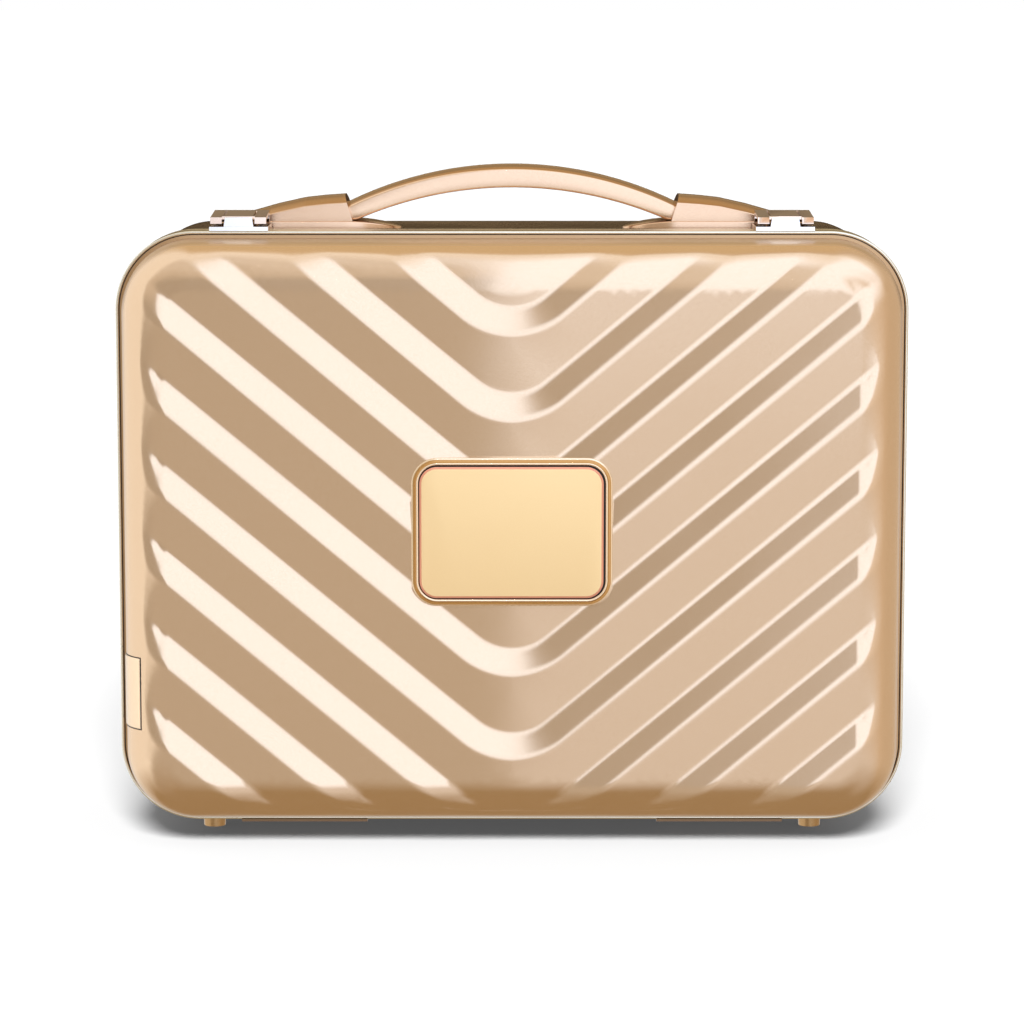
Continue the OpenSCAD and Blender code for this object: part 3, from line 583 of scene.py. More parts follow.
# %% Carry the frames round the case
def frame_ring(name, sizes, place, body, node):
    """Outer wall, bead, groove, floor, and the lip inside the shell's wall."""
    z0, z1 = SEAM_HALF, SEAM_HALF + FRAME_DEPTH
    wall, bead, ease, groove, lip_wall, flange = 1.2, 0.6, 0.35, 0.4, 1.3, 8
    floor = CORNER_R - sizes["inset"] - 0.35
    lean = FRAME_DEPTH * tan(radians(sizes["draft"]))
    lip = CORNER_R - sizes["inset"] - SHELL_WALL - 0.2 - lean
    section = arc(CORNER_R - ease, z0 + ease, ease, -90, 0, 3)
    section += arc(CORNER_R - bead, z1 - bead, bead, 0, 180, 10)
    channel = len(section) - 1
    section += [
        (CORNER_R - wall, z1 - 2.5),
        (CORNER_R - wall - groove, z1 - 2.5),
        (CORNER_R - wall - groove, z1 - 0.9),
        (floor, z1 - 0.7),
        (floor, RIM_Z),
        (lip, RIM_Z),
        (lip, z1 - 1),
        (lip - lip_wall, z1 - 1),
        (lip - lip_wall, RIM_Z),
        (CORNER_R - flange, RIM_Z),
        (CORNER_R - flange, z0),
    ]
    path = round_path(CASE_W, CASE_H, CORNER_R, 2.0, 8.0)
    points, faces = carry(path, section)
    # the groove and the inside take a painted shade grey, the floor and its step a gilt darkened with
    # painted shade
    part = [i // len(path[0]) - channel for i in range(len(faces))]
    marks = [1 if 0 <= p < 2 or 3 < p < 10 else 2 if 2 <= p <= 3 else 0 for p in part]
    return make_piece(name, place(*points.T), faces, body, [node], marks=marks)


lid_ring = frame_ring("lid_frame_ring", LID, on_lid, "lid", "lid_frame")
body_ring = frame_ring("body_frame_ring", BODY, on_body, "case", "body_frame")

# %% [markdown]
# The bead is aluminium that was buffed and anodised in pale gold, so it is bright and
# smooth. The groove and the inside are rough, and their dim grey is painted shade. The floor
# beside it was sprayed with the shells and has a dull golden shine; its deeper gold is
# partly painted shade.

# %% Anodise the frames
anodised = lacquer("anodised_aluminium", "#D9D3C2", "#E4DFCF", 1.0, 0.2, 0.8, 0.01, 0.0)
# the channel's dim grey is painted shade, and the floor's deeper gold is partly painted shade
channel_painted_shade = lacquer("painted_shade_channel", "#6E6054", "#7C6D60", 0.8, 0.45, 0.8, 0.02, 0.0)
gilt_and_shade_floor = lacquer("gilt_floor_painted_shade", "#B4916A", "#BE9C76", 0.95, 0.35, 0.8, 0.02, 0.0)
wear(lid_ring, anodised, channel_painted_shade, gilt_and_shade_floor)
wear(body_ring, anodised, channel_painted_shade, gilt_and_shade_floor)

# %% [markdown]
# ## Hard parts straight from the solids
# Small plated and moulded parts have the right shape but knife-sharp edges. They could be
# built anew, but a copy of the solid with its flat faces joined and its edges rounded
# keeps its form and catches light as the real part does.

# %% Round the edges of a solid
def eased(name, node, body, radius, angle=30, steps=2):
    """A copy of a solid whose edges over an angle are rounded by a radius in mm."""
    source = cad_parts[node]
    work = bmesh.new()
    work.from_mesh(source.data)
    bmesh.ops.remove_doubles(work, verts=work.verts, dist=2 * WELD)
    bmesh.ops.dissolve_limit(
        work, angle_limit=radians(1), verts=work.verts, edges=work.edges, delimit=set()
    )
    edges = [e for e in work.edges if len(e.link_faces) == 2]
    edges = [e for e in edges if e.calc_face_angle(0) > radians(angle)]
    bmesh.ops.bevel(
        work, geom=edges, offset=radius * MM, offset_type="OFFSET", segments=steps,
        profile=0.5, affect="EDGES", clamp_overlap=True,
    )
    mesh = bpy.data.meshes.new(name)
    work.to_mesh(mesh)
    work.free()
    mesh.shade_smooth()
    mesh.set_sharp_from_angle(angle=radians(38))
    piece = hand_over(name, mesh, body, [node])
    # wide faces rule the shading, so that they stay flat beside the rounded edges
    level = piece.modifiers.new("level_faces", "WEIGHTED_NORMAL")
    level.weight, level.keep_sharp = 100, True
    return piece


# %% [markdown]
# Each latch is cast zinc: a keeper on the front half, a base on the rear half and a lever
# that turns on the base. The lever's faces are told apart by the way they face: its top
# takes a greyer painted shade and its nose a pale painted highlight.

# %% Round the latches and the mirror's frame
latch_parts = []
for side in ("left", "right"):
    lever = f"lever_{side}"
    latch_parts += [
        eased(f"keeper_{side}_eased", f"keeper_{side}", "lid", 0.3, steps=3),
        eased(f"{lever}_eased", f"latch_{lever}", lever, 0.6, steps=3),
        eased(f"latch_base_{side}_eased", f"latch_base_{side}", "case", 0.2),
    ]
# marks of a lever's faces: 1 looks up and takes painted shade, 2 looks forward and takes a painted
# highlight
for part in latch_parts:
    if part.name.startswith("lever"):
        for face in part.data.polygons:
            up, forward = face.normal.z > 0.5, face.normal.y < -0.6
            face.material_index = 1 if up else 2 if forward else 0
mirror_ring = eased("mirror_frame_eased", "mirror_frame", "lid", 0.5, steps=3)

# %% [markdown]
# ## Strap and sleeves
# The strap is one moulded arch, flat at its front and crowned on top. Its ends slide into
# two wedge-shaped sleeves that are screwed down through base plates. It is lofted through
# cross-sections, so that its arch curves smoothly between its fixed ends and its middle.

# %% Loft the strap
TOP_Z = CENTRE_Z + CASE_H / 2
HANDLE_BACK = 37
# heights and radii of the arch's top and underside
STRAP_TOP, STRAP_TOP_R, STRAP_UNDER, STRAP_UNDER_R = 24.1, 150, 15, 155
STRAP_W, STRAP_CROWN, STRAP_EDGE = 20, 1.6, 0.9
STRAP_HALF, STRAP_FOOT, STATIONS = 74.4, 2.1, 125


def loft(sections):
    """Points and faces through closed sections with the same number of points."""
    size = len(sections[0])
    points = np.concatenate(sections)
    faces = []
    for s in range(len(sections) - 1):
        a, b = s * size, (s + 1) * size
        faces += [(a + i, a + (i + 1) % size, b + (i + 1) % size, b + i) for i in range(size)]
    faces += [tuple(range(size))[::-1], tuple(range(len(points) - size, len(points)))]
    return points, faces


def at_handle(x, y, z):
    """A point of the handle, y from its middle line and z above the case, in metres."""
    return np.array((x, SPLIT_Y + HANDLE_BACK + y, TOP_Z + z)) * MM


def strap_section(x):
    """The strap's outline at x: round lower corners, flat sides and a crowned top."""
    top = STRAP_TOP - STRAP_TOP_R + sqrt(STRAP_TOP_R**2 - x * x)
    under = STRAP_UNDER - STRAP_UNDER_R + sqrt(STRAP_UNDER_R**2 - x * x)
    under, side, half = max(under, STRAP_FOOT), top - STRAP_CROWN, STRAP_W / 2
    r = min(STRAP_EDGE, (side - under) / 2.2)
    outline = arc(half - r, under + r, r, -90, 0, 4) + arc(half - r, side - r, r, 0, 70, 4)
    for y in np.linspace(half - 1.2, -half + 1.2, 13):
        outline.append((y, side + (top - side) * (1 - (y / half) ** 2)))
    outline += arc(r - half, side - r, r, 110, 180, 4)
    outline += arc(r - half, under + r, r, 180, 270, 4)
    return np.array([at_handle(x, y, z) for y, z in outline])


sections = [strap_section(x) for x in np.linspace(-STRAP_HALF, STRAP_HALF, STATIONS)]
points, faces = loft(sections)
size = len(sections[0])
# the crown between the two upper corners is marked, to take a painted shade
strap = make_piece(
    "strap", points, faces, None, ["handle_grip", "strap_end_left", "strap_end_right"],
    marks=[int(8 <= i % size < size - 10) for i in range(len(faces))],
)
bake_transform(strap)

# %% [markdown]
# A sleeve is a moulded wedge whose mouth leans a little over the strap. Its crest sinks
# along a curve, so the loft takes the crest's height from a short list of places.

# %% Loft the sleeves
MOUTH_X, SLEEVE_L, SLEEVE_W, PLATE_UP, MOUTH_LEAN = 66.6, 45, 28, 1.8, 3.2
CREST_AT = [0, 0.18, 0.36, 0.6, 0.82, 0.93, 1.0]
CREST_HEIGHT = [10.15, 9.6, 8.7, 6.3, 3.5, 2.2, 1.35]


def sleeve_section(side, t):
    """The sleeve's outline at share t of its length from the mouth."""
    crest = np.interp(t, CREST_AT, CREST_HEIGHT)
    edge, half = max(crest - 2.6 * min(1, crest / 4), 0.9), SLEEVE_W / 2
    soft = min(0.45, edge / 2)
    outline = [(half, 0), (half, edge - soft)]
    outline += arc(half - soft, edge - soft, soft, 10, 60, 3)
    outline += [(half * 0.72, edge + (crest - edge) * 0.62), (half * 0.5, crest - 0.25)]
    outline += [(half * 0.34, crest), (0, crest + 0.02)]
    outline += [(-y, z) for y, z in outline[-2::-1]]
    x, lean = side * (MOUTH_X + t * SLEEVE_L), side * MOUTH_LEAN * (1 - t) ** 4
    spots = [(x - lean * (1 - z / crest), y, PLATE_UP + z) for y, z in outline]
    return np.array([at_handle(*spot) for spot in spots])


def sleeve(name, side, node):
    sections = [sleeve_section(side, t) for t in np.linspace(0, 1, 33)]
    points, faces = loft(sections)
    size = len(sections[0])
    # the crest between the upper corners is marked, to take a painted shade
    marks = [int(5 <= i % size < size - 6) for i in range(len(faces))]
    return make_piece(
        name, points, faces, "case", [node], sharp=32, marks=marks
    )


sleeves = [sleeve("sleeve_left_soft", -1, "sleeve_left"), sleeve("sleeve_right_soft", 1, "sleeve_right")]

# %% [markdown]
# The base plates are thin mouldings. Toward the middle of the case each one narrows to a
# round tip and thins out to nothing, so that no edge catches a hand. Stations crowd at
# the tip, where the outline turns fastest.

# %% Loft the base plates
def base_plate(name, side, node):
    """A plate from its round tip to its square end; the end's edges are eased."""
    tip, full, end, half = 44.1, MOUTH_X, 115.4, 14.9
    foot, tip_up, soft, lift = -2.35, -1.1, 0.5, 0.02
    sections = []
    turning = tip + (full - tip) * (1 - np.cos(np.linspace(0.12, pi / 2, 14)))
    for x in [*turning, 80, 95, end - 1, end]:
        share = min(1, (x - tip) / (full - tip))
        wide = half * sqrt(1 - (1 - share) ** 2) - (0.6 if x == end else 0)
        thick = tip_up + (PLATE_UP - tip_up) * (1 - (1 - share) ** 2) - (0.4 if x == end else 0)
        outline = [(wide, foot)] + arc(wide - soft, thick - soft, soft, 0, 90, 4)
        outline += [(0, thick)] + [(-y, z) for y, z in reversed(outline)]
        sections.append(np.array([at_handle(side * x, y, lift + z) for y, z in outline]))
    points, faces = loft(sections)
    return make_piece(name, points, faces, "case", [node], sharp=40)


handle_plates = [
    base_plate("handle_plate_left_thin", -1, "handle_plate_left"),
    base_plate("handle_plate_right_thin", 1, "handle_plate_right"),
]

# %% [markdown]
# The handle is moulded ABS, sprayed in the shells' champagne. Its tops take a deeper,
# browner gold, which is painted shade. The sleeves shine a little less than the strap.

# %% Lacquer the handle
handle_lacquer = lacquer("lacquered_abs", "#DAB796", "#E5C6A8", 0.97, 0.2, 0.5, 0.015, 0.2)
# the tops' browner gold is painted shade
handle_top_painted_shade = lacquer("abs_top_painted_shade", "#B58F66", "#C29C74", 0.97, 0.24, 0.5, 0.015, 0.0)
wear(strap, handle_lacquer, handle_top_painted_shade)
sleeve_lacquer = lacquer("lacquered_abs_sleeve", "#D4AE8C", "#DFBEA0", 0.97, 0.22, 0.5, 0.015, 0.15)
for piece in sleeves:
    wear(piece, sleeve_lacquer, handle_top_painted_shade)
for piece in handle_plates:
    wear(piece, sleeve_lacquer)

# %% [markdown]
# ## Badge
# A moulded rim stands round a blank metal plate, with a gap between them painted black as
# shade. One section carried round the badge gives the lip, its gilt slope darkened with
# painted shade, and the floor of the gap.

# %% Carry the badge's rim round
BADGE_W, BADGE_H, BADGE_R, BADGE_UP = 77.8, 57.8, 10, 2.5


def badge_rim():
    z0, face, r = 33.95, LID["depth"], BADGE_R
    section = [(r, z0)] + arc(r - 0.35, face + 0.15, 0.35, 0, 80, 4)
    slope_at = len(section)
    section += [(r - 0.6, face + 0.62), (r - 1.5, face + 0.75)]
    section += arc(r - 2.2, face + 0.75, 0.5, 60, 180, 6)
    floor_at = len(section)
    section += [(r - 2.7, face + 0.05), (r - 6, face + 0.05), (r - 6, z0)]
    feet, ways = round_path(BADGE_W, BADGE_H, BADGE_R, 5.0, 6.0)
    points, faces = carry((feet + np.array([0, BADGE_UP]), ways), section)
    marks = np.zeros(len(section), int)
    marks[[slope_at, slope_at + 1]] = 2
    marks[[floor_at - 1, floor_at]] = 1
    return make_piece(
        "badge_rim_round", on_lid(*points.T), faces, "lid", ["badge_rim"],
        marks=np.repeat(marks, len(feet)).tolist(),
    )


# the lip is sprayed bright; the slope inside it is gilt, darkened as painted shade, and the seat is
# painted black as shade
rim = badge_rim()
rim_lacquer = lacquer("moulded_rim", "#E2C8A6", "#EBD7BC", 0.8, 0.16, 0.5, 0.01, 0.4)
# the slope's darker gold and the seat's black are painted shade
rim_slope_painted_shade = lacquer("gilt_slope_painted_shade", "#A87A40", "#BC8C50", 0.7, 0.25, 0.5, 0.01, 0.4)
gap_painted_shade = lacquer("black_gap_painted_shade", "#120E0B", "#1C1611", 0.0, 0.6, 0.8, 0.01, 0.0)
wear(rim, rim_lacquer, gap_painted_shade, rim_slope_painted_shade)

# %% [markdown]
# The plate is brass with a bevelled edge. Its face was brushed finely in all directions
# and scatters the light evenly. The bevel was polished and looks like copper beside it.

# %% Set the plate in the rim
PLATE_W, PLATE_H, PLATE_R, PLATE_SHIFT = 70, 50, 6.1, (-0.2, 2.3)


def badge_face():
    z0, top = 34.6, LID["depth"] + 0.9
    section = [(6.7, z0), (6.7, top - 0.45), (5.9, top - 0.05), (5.7, top)]
    feet, ways = round_path(PLATE_W, PLATE_H, PLATE_R, 6.0, 8.0)
    points, faces = carry((feet + np.array(PLATE_SHIFT), ways), section)
    # the face closes the front in one polygon, and another closes the back
    count = len(feet)
    faces = [f for i, f in enumerate(faces) if i // count < 3]
    faces += [tuple(range(3 * count, 4 * count)), tuple(range(count))[::-1]]
    marks = [int(i // count < 2) for i in range(3 * count)] + [0, 1]
    return make_piece(
        "badge_face", on_lid(*points.T), faces, "lid", ["badge_plate"], 20,
        marks=marks,
    )


plate = badge_face()
badge_metal = lacquer("brushed_brass_plate", "#F2D5A2", "#F8DFB0", 0.85, 0.6, 0.4, 0.03, 0.0)
badge_edge = lacquer("copper_plate_edge", "#C07E64", "#CE8E74", 0.4, 0.4, 0.4, 0.02, 0.0)
wear(plate, badge_metal, badge_edge)

# %% [markdown]
# A small moulded cover follows the lid's round left side. It stands a little proud of the
# shell, and the seam round it is painted black as shade. The shell's own section is walked
# again, so that the cover fits its curve.

# %% Lay the side cover on the shell
COVER_LOW, COVER_HIGH, COVER_BACK, COVER_TURN = -76.3, -47.5, 5.6, radians(38)


def side_cover():
    """Rings that shrink toward the face, from the seam in the shell up to the flat top."""
    shell = Pillow(**LID)
    low, high, x0 = COVER_LOW, COVER_HIGH, -(shell.w / 2 - shell.r)
    s0, s1 = shell.length - COVER_BACK, shell.flat + shell.edge * COVER_TURN
    # how proud each ring stands, how far it has shrunk, and the mark of its faces, where 1 is the seam's
    # painted black shade
    layers = [(-0.5, 0.0, 1), (0.12, 0.0, 1), (0.12, 0.45, 1)]
    layers += [(0.12, 0.5, 0), (0.32, 0.75, 0), (0.4, 1.3, 0)]
    rings, across, along = [], 15, 12
    for proud, shrink, _ in layers:
        ring = []
        for y, s in (
            [(low, t) for t in np.linspace(s0, s1, across)]
            + [(t, s1) for t in np.linspace(low, high, along)[1:]]
            + [(high, t) for t in np.linspace(s1, s0, across)[1:]]
            + [(t, s0) for t in np.linspace(high, low, along)[1:-1]]
        ):
            y = min(max(y, low + shrink), high - shrink)
            s = min(max(s, s1 + shrink), s0 - shrink)
            q, z, angle = shell.section(np.array(s))
            ring.append((x0 - q - proud * sin(angle), y, z + proud * cos(angle)))
        rings.append(ring)
    points, faces = loft(rings)
    count = len(rings[0])
    marks = np.repeat([mark for _, _, mark in layers[1:]], count).tolist()
    # a strip of quads between the two long edges takes the place of the loft's end faces
    faces, top = faces[:-2], len(points) - count
    side_a = [top + i for i in range(across)]
    side_b = [top + across + along - 2 + (across - 1 - i) for i in range(across)]
    faces += [(side_a[i], side_a[i + 1], side_b[i + 1], side_b[i]) for i in range(across - 1)]
    faces.append(tuple([*side_a[-1:], *range(top + across, top + across + along - 2), side_b[-1]]))
    faces.append(tuple([side_b[0], *range(top + 2 * across + along - 2, top + count), side_a[0]]))
    marks += [0] * (len(faces) - len(marks))
    return make_piece(
        "side_cover_curved", on_lid(*points.T), faces, "lid", ["side_cover"],
        30, marks=marks,
    )


cover = side_cover()
# the cover's seam takes the painted black shade
wear(cover, lacquer("moulded_cover", "#E3C8A8", "#EDD5B8", 0.6, 0.25), gap_painted_shade)

# %% [markdown]
# ## Small metal and rubber parts
# The keepers are chromed zinc, mirror bright. The latches are zinc under a gold plating:
# their sides keep the polish, their tops are brushed and painted grey as shade, and their
# noses are painted pale as a highlight. Hinges are bronzed steel, pins and screws bright
# steel, and rivets take the channel's painted shade grey. The feet are moulded, the seal is
# dark rubber, and the mirror is glass with silver behind it, drawn as the silver alone.

# %% Plate the latches and finish the fittings
chrome = lacquer("chromed_zinc", "#EDEBE8", "#F7F6F4", 1.0, 0.12, 0.8, 0.005, 0.0)
latch_metal = lacquer("gold_plated_zinc", "#A5835F", "#B8966F", 0.97, 0.16, 0.8, 0.005, 0.0)
# the lever's greyer top is painted shade, and its pale nose is a painted highlight
lever_top_painted_shade = lacquer("brushed_top_painted_shade", "#857174", "#928083", 0.97, 0.25, 0.8, 0.005, 0.0)
lever_nose_painted_highlight = lacquer("polished_nose_painted_highlight", "#E6CBB8", "#F2DCCB", 0.97, 0.1, 0.8, 0.005, 0.0)
hinge_paint = lacquer("bronzed_steel", "#7A6048", "#8C7054", 0.7, 0.35, 0.8, 0.02, 0.1)
pin_steel = lacquer("bright_steel", "#B9A68C", "#C9B89E", 1.0, 0.25, 0.8, 0.01, 0.0)
for piece in latch_parts:
    if "lever" in piece.name:
        wear(piece, latch_metal, lever_top_painted_shade, lever_nose_painted_highlight)
    else:
        wear(piece, chrome if "keeper" in piece.name else latch_metal)
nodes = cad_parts
for name in ("lid_leaf_left", "lid_leaf_right", "body_leaf_left", "body_leaf_right"):
    wear(nodes[name], hinge_paint)
pins = ["hinge_pin_left", "hinge_pin_right", "latch_pin_left", "latch_pin_right"]
for name in [*pins, "handle_screws", "foot_screws"]:
    wear(nodes[name], pin_steel)
# the rivets sit in the channel and take its painted shade grey
for name in ("lid_rivets", "body_rivets"):
    wear(nodes[name], channel_painted_shade)
wear(nodes["feet"], lacquer("moulded_foot", "#B08A5C", "#C09C6C", 0.75, 0.25, 0.8, 0.02, 0.1))
wear(nodes["frame_seal"], lacquer("seal_rubber", "#443A32", "#4E443B", 0.0, 0.6, 0.8, 0.02, 0.0))
wear(nodes["mirror"], lacquer("silvered_glass", "#E4E9EC", "#E8EDF0", 1.0, 0.03, 2.0, 0.0, 0.0))
wear(mirror_ring, handle_lacquer)

# %% [markdown]
# ## Padded linings and dividers
# Each half is lined with satin over thin foam. The floor is quilted in diamonds and the
# sides in level channels, so the foam swells between the seams and is pinched at them. The
# linings are glued to stiff board, so a formula shapes them as well as a cloth would.

# %% Pad the linings
# depth of the body's padded floor
FLOOR_Z = 107.8
# size of the diamonds, depth of the seams and height of the swelling
QUILT, SEAM_PINCH, PUFF = 26.0, 1.0, 3.0
# inset of the room inside the lining, its round edge, and the lining's thickness
ROOM_INSET, ROOM_EDGE, LINING_START, PAD = 10.3, 12.5, 1.15, 2.0


def quilt(x, y):
    """Swelling of the diamonds, 0 at a seam and 1 between seams."""
    rising = np.sin(pi * (x + y) / QUILT / sqrt(2))
    falling = np.sin(pi * (x - y) / QUILT / sqrt(2))
    return np.abs(rising * falling) ** 0.45


def lining(name, floor_z, place, body, node):
    """A padded tray: quilted floor, round edge, and channels round its sides."""
    room = Pillow(ROOM_INSET, floor_z, ROOM_EDGE, 0, start=LINING_START)
    back = Pillow(ROOM_INSET - PAD, floor_z + 1.98, ROOM_EDGE + PAD, 0, start=LINING_START)
    limit = room.flat + room.edge * sin(radians(24))
    x, y = np.meshgrid(np.arange(-147, 148, 3.0), np.arange(-108, 109, 3.0))
    x, y = x.ravel(), y.ravel()
    keep = room.foot(x, y)[0] < limit
    x, y = x[keep] + 0.01, y[keep] + 0.013

    def height(x, y):
        q = room.foot(x, y)[0]
        fade = np.clip((limit - q) / 9, 0, 1)
        return floor_z - room.fall(q) + fade * (SEAM_PINCH - PUFF * quilt(x, y))

    lengths = [(room.flat + room.edge * radians(a), 0.0) for a in (27, 36, 46, 56, 66, 76, 86)]
    first, last = room.flat + room.edge * room.turn, room.length
    channels = max(1, round((last - first) / QUILT))
    for share in np.linspace(0, 1, channels * 7 + 1)[1:]:
        puff = 1.5 * abs(sin(pi * channels * share)) ** 0.5 - 0.6
        lengths.append((first + share * (last - first), puff))
    path = round_path(room.w, room.h, room.r, 7.5, 6.0)
    points, _, faces = pillow_skin(room, back, (x, y, []), height, lengths, path)
    piece = make_piece(name, place(*points.T), faces, body, [node], sharp=70)
    return piece


linings = [
    lining("lid_lining_padded", 29.8, on_lid, "lid", "lid_lining"),
    lining("body_lining_padded", FLOOR_Z, on_body, "case", "body_lining"),
]

# %% [markdown]
# Three padded boards part the body's room. Each is stitched in upright seams and swells
# between them. Its points crowd at the rim, where the padding turns over the board.

# %% Pad the dividers
BOARD_H = 62
RIM_STEPS = np.array([0, 0.5, 1.3, 2.6])
# reach of the round rim, and of the pinch beside a seam
RIM_REACH, SEAM_REACH = 3.0, 4.0


def crowded(length, steps):
    """Places along a length that crowd at both ends."""
    middle = np.linspace(5, length - 5, steps)
    return np.concatenate([RIM_STEPS, middle, length - RIM_STEPS[::-1]])


def divider(name, ends, rounded, seams, turn, node):
    """A padded board between two ends; its lower corners follow the lining's edge."""
    rows = crowded(BOARD_H, 14)
    points = []
    for side in (1, -1):
        for drop in rows:
            z = FLOOR_Z - BOARD_H + drop
            into = max(0, z - (FLOOR_Z - ROOM_EDGE))
            inset = ROOM_EDGE - sqrt(ROOM_EDGE**2 - into * into * 0.995)
            a, b = ends[0] + inset * rounded[0], ends[1] - inset * rounded[1]
            for along in crowded(b - a, 61):
                rim = min(along, b - a - along, drop, BOARD_H - drop)
                swell = 1.0 + 0.95 * (1 - (1 - min(1, rim / RIM_REACH)) ** 2)
                near = min(abs(a + along - seam) for seam in seams)
                swell -= 0.75 * (1 - min(1, near / SEAM_REACH)) ** 2
                points.append((a + along, side * swell, z))
    size = len(points) // 2
    across = size // len(rows)
    faces = []
    for r in range(len(rows) - 1):
        for c in range(across - 1):
            i = r * across + c
            quad = (i, i + 1, i + across + 1, i + across)
            faces += [quad, tuple(size + k for k in reversed(quad))]
    border = (
        list(range(across))
        + [r * across + across - 1 for r in range(1, len(rows))]
        + [size - 2 - c for c in range(across - 1)]
        + [r * across for r in range(len(rows) - 2, 0, -1)]
    )
    faces += [(i, size + i, size + j, j) for i, j in zip(border, border[1:] + border[:1])]
    world = np.array([turn(*p) for p in points])
    piece = make_piece(name, on_body(*world.T), faces, "case", [node], sharp=75)
    return piece


DIVIDER_UP, DIVIDER_X, ROOM_HALF_W, ROOM_HALF_H = 14, 48, 144.5, 106.5
dividers = [
    divider(
        "long_divider_padded", (-ROOM_HALF_W, ROOM_HALF_W), (1, 1), (-96, -48, 0, 48, 96),
        lambda a, t, z: (a, DIVIDER_UP + t, z), "long_divider",
    )
]
for side, x in (("left", -DIVIDER_X), ("right", DIVIDER_X)):
    dividers.append(
        divider(
            f"short_divider_{side}_padded", (DIVIDER_UP + 2, ROOM_HALF_H), (0, 1), (46, 76),
            lambda a, t, z, x=x: (x + t, a, z), f"short_divider_{side}",
        )
    )

# %% [markdown]
# The linings are rose satin, woven with long floating threads that give a soft sheen. The
# weave is far too fine to draw at this scale, so its threads are drawn coarser, at 0.6 mm,
# as a fine ribbed bump.

# %% Weave the satin
THREAD_MM, DYE_MM = 0.6, 40


def satin(name, dark, light):
    material, tree, main = finish_named(name, Roughness=0.55, Sheen_Weight=0.35, Sheen_Roughness=0.4)
    place = add(tree, "ShaderNodeTexCoord").outputs["Object"]
    # a wave's band spans a twentieth of its scale
    wave = {"Vector": place, "Scale": 1000 / THREAD_MM / 20, "Distortion": 0.6}
    warp, weft = (
        add(tree, "ShaderNodeTexWave", wave, bands_direction=axis).outputs["Fac"]
        for axis in ("X", "Z")
    )
    both = {0: 0.5, 6: warp, 7: weft}
    woven = add(tree, "ShaderNodeMix", both, data_type="RGBA").outputs[2]
    dye = {"Vector": place, "Scale": 1000 / DYE_MM}
    dye = add(tree, "ShaderNodeTexNoise", dye).outputs["Fac"]
    tints = {0: dye, 6: linear(dark), 7: linear(light)}
    tint = add(tree, "ShaderNodeMix", tints, data_type="RGBA").outputs[2]
    relief = {"Height": woven, "Strength": 0.15, "Distance": 0.0003}
    relief = add(tree, "ShaderNodeBump", relief).outputs["Normal"]
    tree.links.new(tint, main.inputs["Base Color"])
    tree.links.new(relief, main.inputs["Normal"])
    return material


lining_satin = satin("rose_satin_lining", "#C9AE9C", "#D6BEAE")
divider_satin = satin("rose_satin_divider", "#BC9D89", "#CAAE9B")
for piece in linings:
    wear(piece, lining_satin)
for piece in dividers:
    wear(piece, divider_satin)

# %% [markdown]
# ## Studio
# The photograph's ground and room are plain white, and only a soft shadow lies under the
# case. A sheet of white paper and an even white room do the same. The paper glows very
# faintly, so that it stays white out to the picture's edge. The room is pure white where
# the camera or a mirror looks at it, and lights the case at a plain level.

# %% Lay the paper and light the room
PAPER_REACH, ROOM_LIGHT = 40, 0.25
floor_mesh = bpy.data.meshes.new("paper")
corners = [(x * PAPER_REACH, y * PAPER_REACH, 0) for x, y in ((-1, -1), (1, -1), (1, 1), (-1, 1))]
floor_mesh.from_pydata(corners, [], [(0, 1, 2, 3)])
paper = stand("paper", floor_mesh)
paper.visible_glossy = False
paper_white = finish_named(
    "white_paper", Base_Color=(0.9, 0.9, 0.9, 1), Roughness=0.9, Specular_IOR_Level=0.0,
    Emission_Color=(1, 1, 1, 1), Emission_Strength=0.08,
)[0]
wear(paper, paper_white)

room = bpy.data.worlds.new("room")
room.use_nodes = True
tree = room.node_tree
back = tree.nodes["Background"]
back.inputs["Color"].default_value = (1, 1, 1, 1)
path_kind = add(tree, "ShaderNodeLightPath").outputs
rays = {0: path_kind["Is Camera Ray"], 1: path_kind["Is Glossy Ray"]}
seen = add(tree, "ShaderNodeMath", rays, operation="ADD").outputs[0]
rays = {0: seen, 1: path_kind["Is Transmission Ray"]}
shown = add(tree, "ShaderNodeMath", rays, operation="ADD", use_clamp=True).outputs[0]
level = {"Value": shown, "To Min": ROOM_LIGHT, "To Max": 1.0}
level = add(tree, "ShaderNodeMapRange", level).outputs["Result"]
tree.links.new(level, back.inputs["Strength"])
bpy.context.scene.world = room
print("the room lights at", ROOM_LIGHT, "and shows as 1")

# %% [markdown]
# The shells mirror the room, so their stripes come from large cards that stand far off: a
# bright one ahead and to the right, a grey one to the left, darker ones low down and
# behind. All cards together are one dome, and a table says what colour each stretch has.
# Only gloss sees them, so they cast no light or shadow on the paper.

# %% Choose the cards' colours
# colours as linear light, where 1 is white; the metallic lacquer tints what it mirrors
key, top = (1.50, 1.67, 2.02), (1.2, 1.18, 1.15)
side, side_right = (1.2, 1.16, 1.1), (0.77, 0.64, 0.48)
left, left_low, right_low = (0.575, 0.515, 0.435), (0.67, 0.60, 0.51), (0.93, 0.90, 0.89)
left_mid, left_high = (0.80, 0.72, 0.62), (0.92, 0.86, 0.78)
near_right, right, under = (1.05, 0.97, 0.90), (0.82, 0.68, 0.52), (0.46, 0.33, 0.18)
rear, rear_mid, rear_gold = (0.82, 0.65, 0.40), (0.35, 0.26, 0.15), (0.62, 0.48, 0.28)
rear_edge, rear_low, plain = (0.44, 0.31, 0.17), (0.01, 0.005, 0.002), (0.8, 0.8, 0.8)
# where the colours change, in degrees round from straight ahead
TURNS = [-180, -162, -130, -62, -50, -36, -8.5, -4, 4, 22, 28, 74, 90, 130, 162, 180]


def spread_out(back, mid_left, front, mid_right):
    """Colours of one row: behind, left side, ahead, right side, behind."""
    return [back, back, side, *mid_left, *front, *mid_right, side_right, back, back]


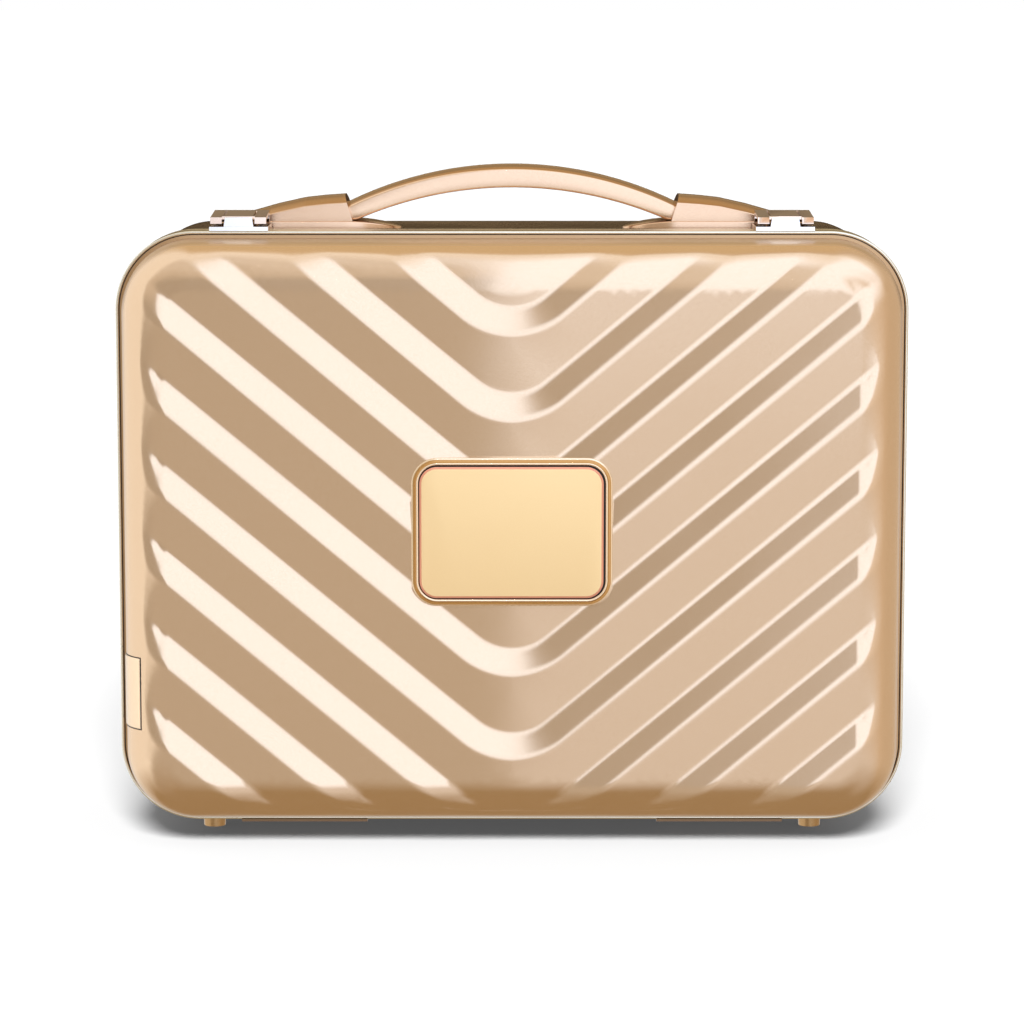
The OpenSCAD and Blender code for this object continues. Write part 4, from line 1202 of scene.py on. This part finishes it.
low_row = [
    [side, side, left_low], [left_low, left_low, right_low, right_low],
    [right_low, right, side_right],
]
front_row = [[side, left, left], [left, key, key, key], [near_right, right, side_right]]
mid_row = [[side, left_mid, left_mid], [left_mid, key, key, key], [key, near_right, side_right]]
high_row = [[side, left_high, left_high], [left_high, key, key, key], [key, key, top]]
top_row = [[top] * 3, [top] * 4, [top] * 3]
# a row's angle above the horizon, and its colours at the turns
ROWS = [
    (-89, [under] * len(TURNS)),
    (-52, [under] * len(TURNS)),
    (-24, spread_out(plain, *low_row)),
    (-16, spread_out(plain, *low_row)),
    (-7, spread_out(plain, *front_row)),
    (0, spread_out(rear_low, *front_row)),
    (6.5, spread_out(rear_low, *front_row)),
    (10, spread_out(rear_edge, *front_row)),
    (14, spread_out(rear_gold, *front_row)),
    (26, spread_out(rear_mid, *mid_row)),
    (44, spread_out(rear, *high_row)),
    (58, spread_out(rear, *high_row)),
    (84, spread_out(rear, *top_row)),
    (89, spread_out(rear, *top_row)),
]
print("cards:", len(ROWS), "rows of", len(TURNS), "colours")

# %% [markdown]
# The dome's points carry the colours, and the shader blends them between the points. The
# glow stops once light has bounced off the paper, so that no brown light comes back up
# from under the case.

# %% Stand up the cards
CARD_DISTANCE, CARD_STEP = 4.0, 4


def fine_steps(stops, table, step):
    """Stops and table filled in between, so that no card shows a corner."""
    places = np.unique(np.concatenate([np.arange(stops[0], stops[-1], step), stops]))
    flat = table.reshape(len(stops), -1)
    flat = np.stack([np.interp(places, stops, column) for column in flat.T], -1)
    return places, flat.reshape(len(places), *table.shape[1:])


lifts = [lift for lift, _ in ROWS]
table = np.array([row for _, row in ROWS])
lift_fine, table = fine_steps(lifts, table, CARD_STEP)
turn_fine, table = fine_steps(TURNS, table.transpose(1, 0, 2), CARD_STEP)
table = table.transpose(1, 0, 2)
points = [
    AIM + CARD_DISTANCE * Vector((sin(a) * cos(e), -cos(a) * cos(e), sin(e)))
    for e in np.radians(lift_fine)
    for a in np.radians(turn_fine)
]
wide = len(turn_fine)
faces = [
    (r * wide + i, r * wide + i + 1, (r + 1) * wide + i + 1, (r + 1) * wide + i)
    for r in range(len(lift_fine) - 1)
    for i in range(wide - 1)
]
mesh = bpy.data.meshes.new("cards")
mesh.from_pydata(points, [], faces)
light_level = mesh.attributes.new("light_level", "FLOAT_COLOR", "POINT")
colours = np.column_stack([table.reshape(-1, 3), np.ones(len(points))])
light_level.data.foreach_set("color", colours.ravel())
cards = stand("cards", mesh)
for ray in ("camera", "diffuse", "transmission", "shadow"):
    setattr(cards, "visible_" + ray, False)
card_glow = bpy.data.materials.new("card_glow")
card_glow.use_nodes = True
tree = card_glow.node_tree
tree.nodes.clear()
level = add(tree, "ShaderNodeAttribute", attribute_name="light_level")
bounces = add(tree, "ShaderNodeLightPath").outputs["Diffuse Depth"]
strength = {"Value": bounces, "To Min": 1.0, "To Max": 0.0}
strength = add(tree, "ShaderNodeMapRange", strength).outputs["Result"]
glow = add(tree, "ShaderNodeEmission", {"Color": level.outputs["Color"], "Strength": strength})
add(tree, "ShaderNodeOutputMaterial", {"Surface": glow.outputs[0]})
mesh.materials.append(card_glow)
print("cards:", len(points), "points")

# %% [markdown]
# A broad sun from above the camera lights the paper evenly out to its far edge. The room
# adds less to it, so the shadow that shows stays dark and narrow, right under the case. A
# small lamp would give a hard edge and a paper that darkens with distance.

# %% Hang the lamp
SUN_STRENGTH, SUN_BREADTH, SUN_LIFT = 4.4, 20, 38
sun_data = bpy.data.lights.new("broad_sun", "SUN")
sun_data.energy, sun_data.angle = SUN_STRENGTH, radians(SUN_BREADTH)
sun = stand("broad_sun", sun_data)
sun.rotation_euler = (radians(90 - SUN_LIFT), 0, 0)
sun.visible_glossy = False
print("sun:", SUN_BREADTH, "degrees broad,", SUN_LIFT, "degrees high")

# %% [markdown]
# ## The view
# The dressed model must stay in the imported model's box.

# %% Set the view
bpy.context.scene.view_settings.view_transform = "Standard"
bpy.context.view_layer.update()
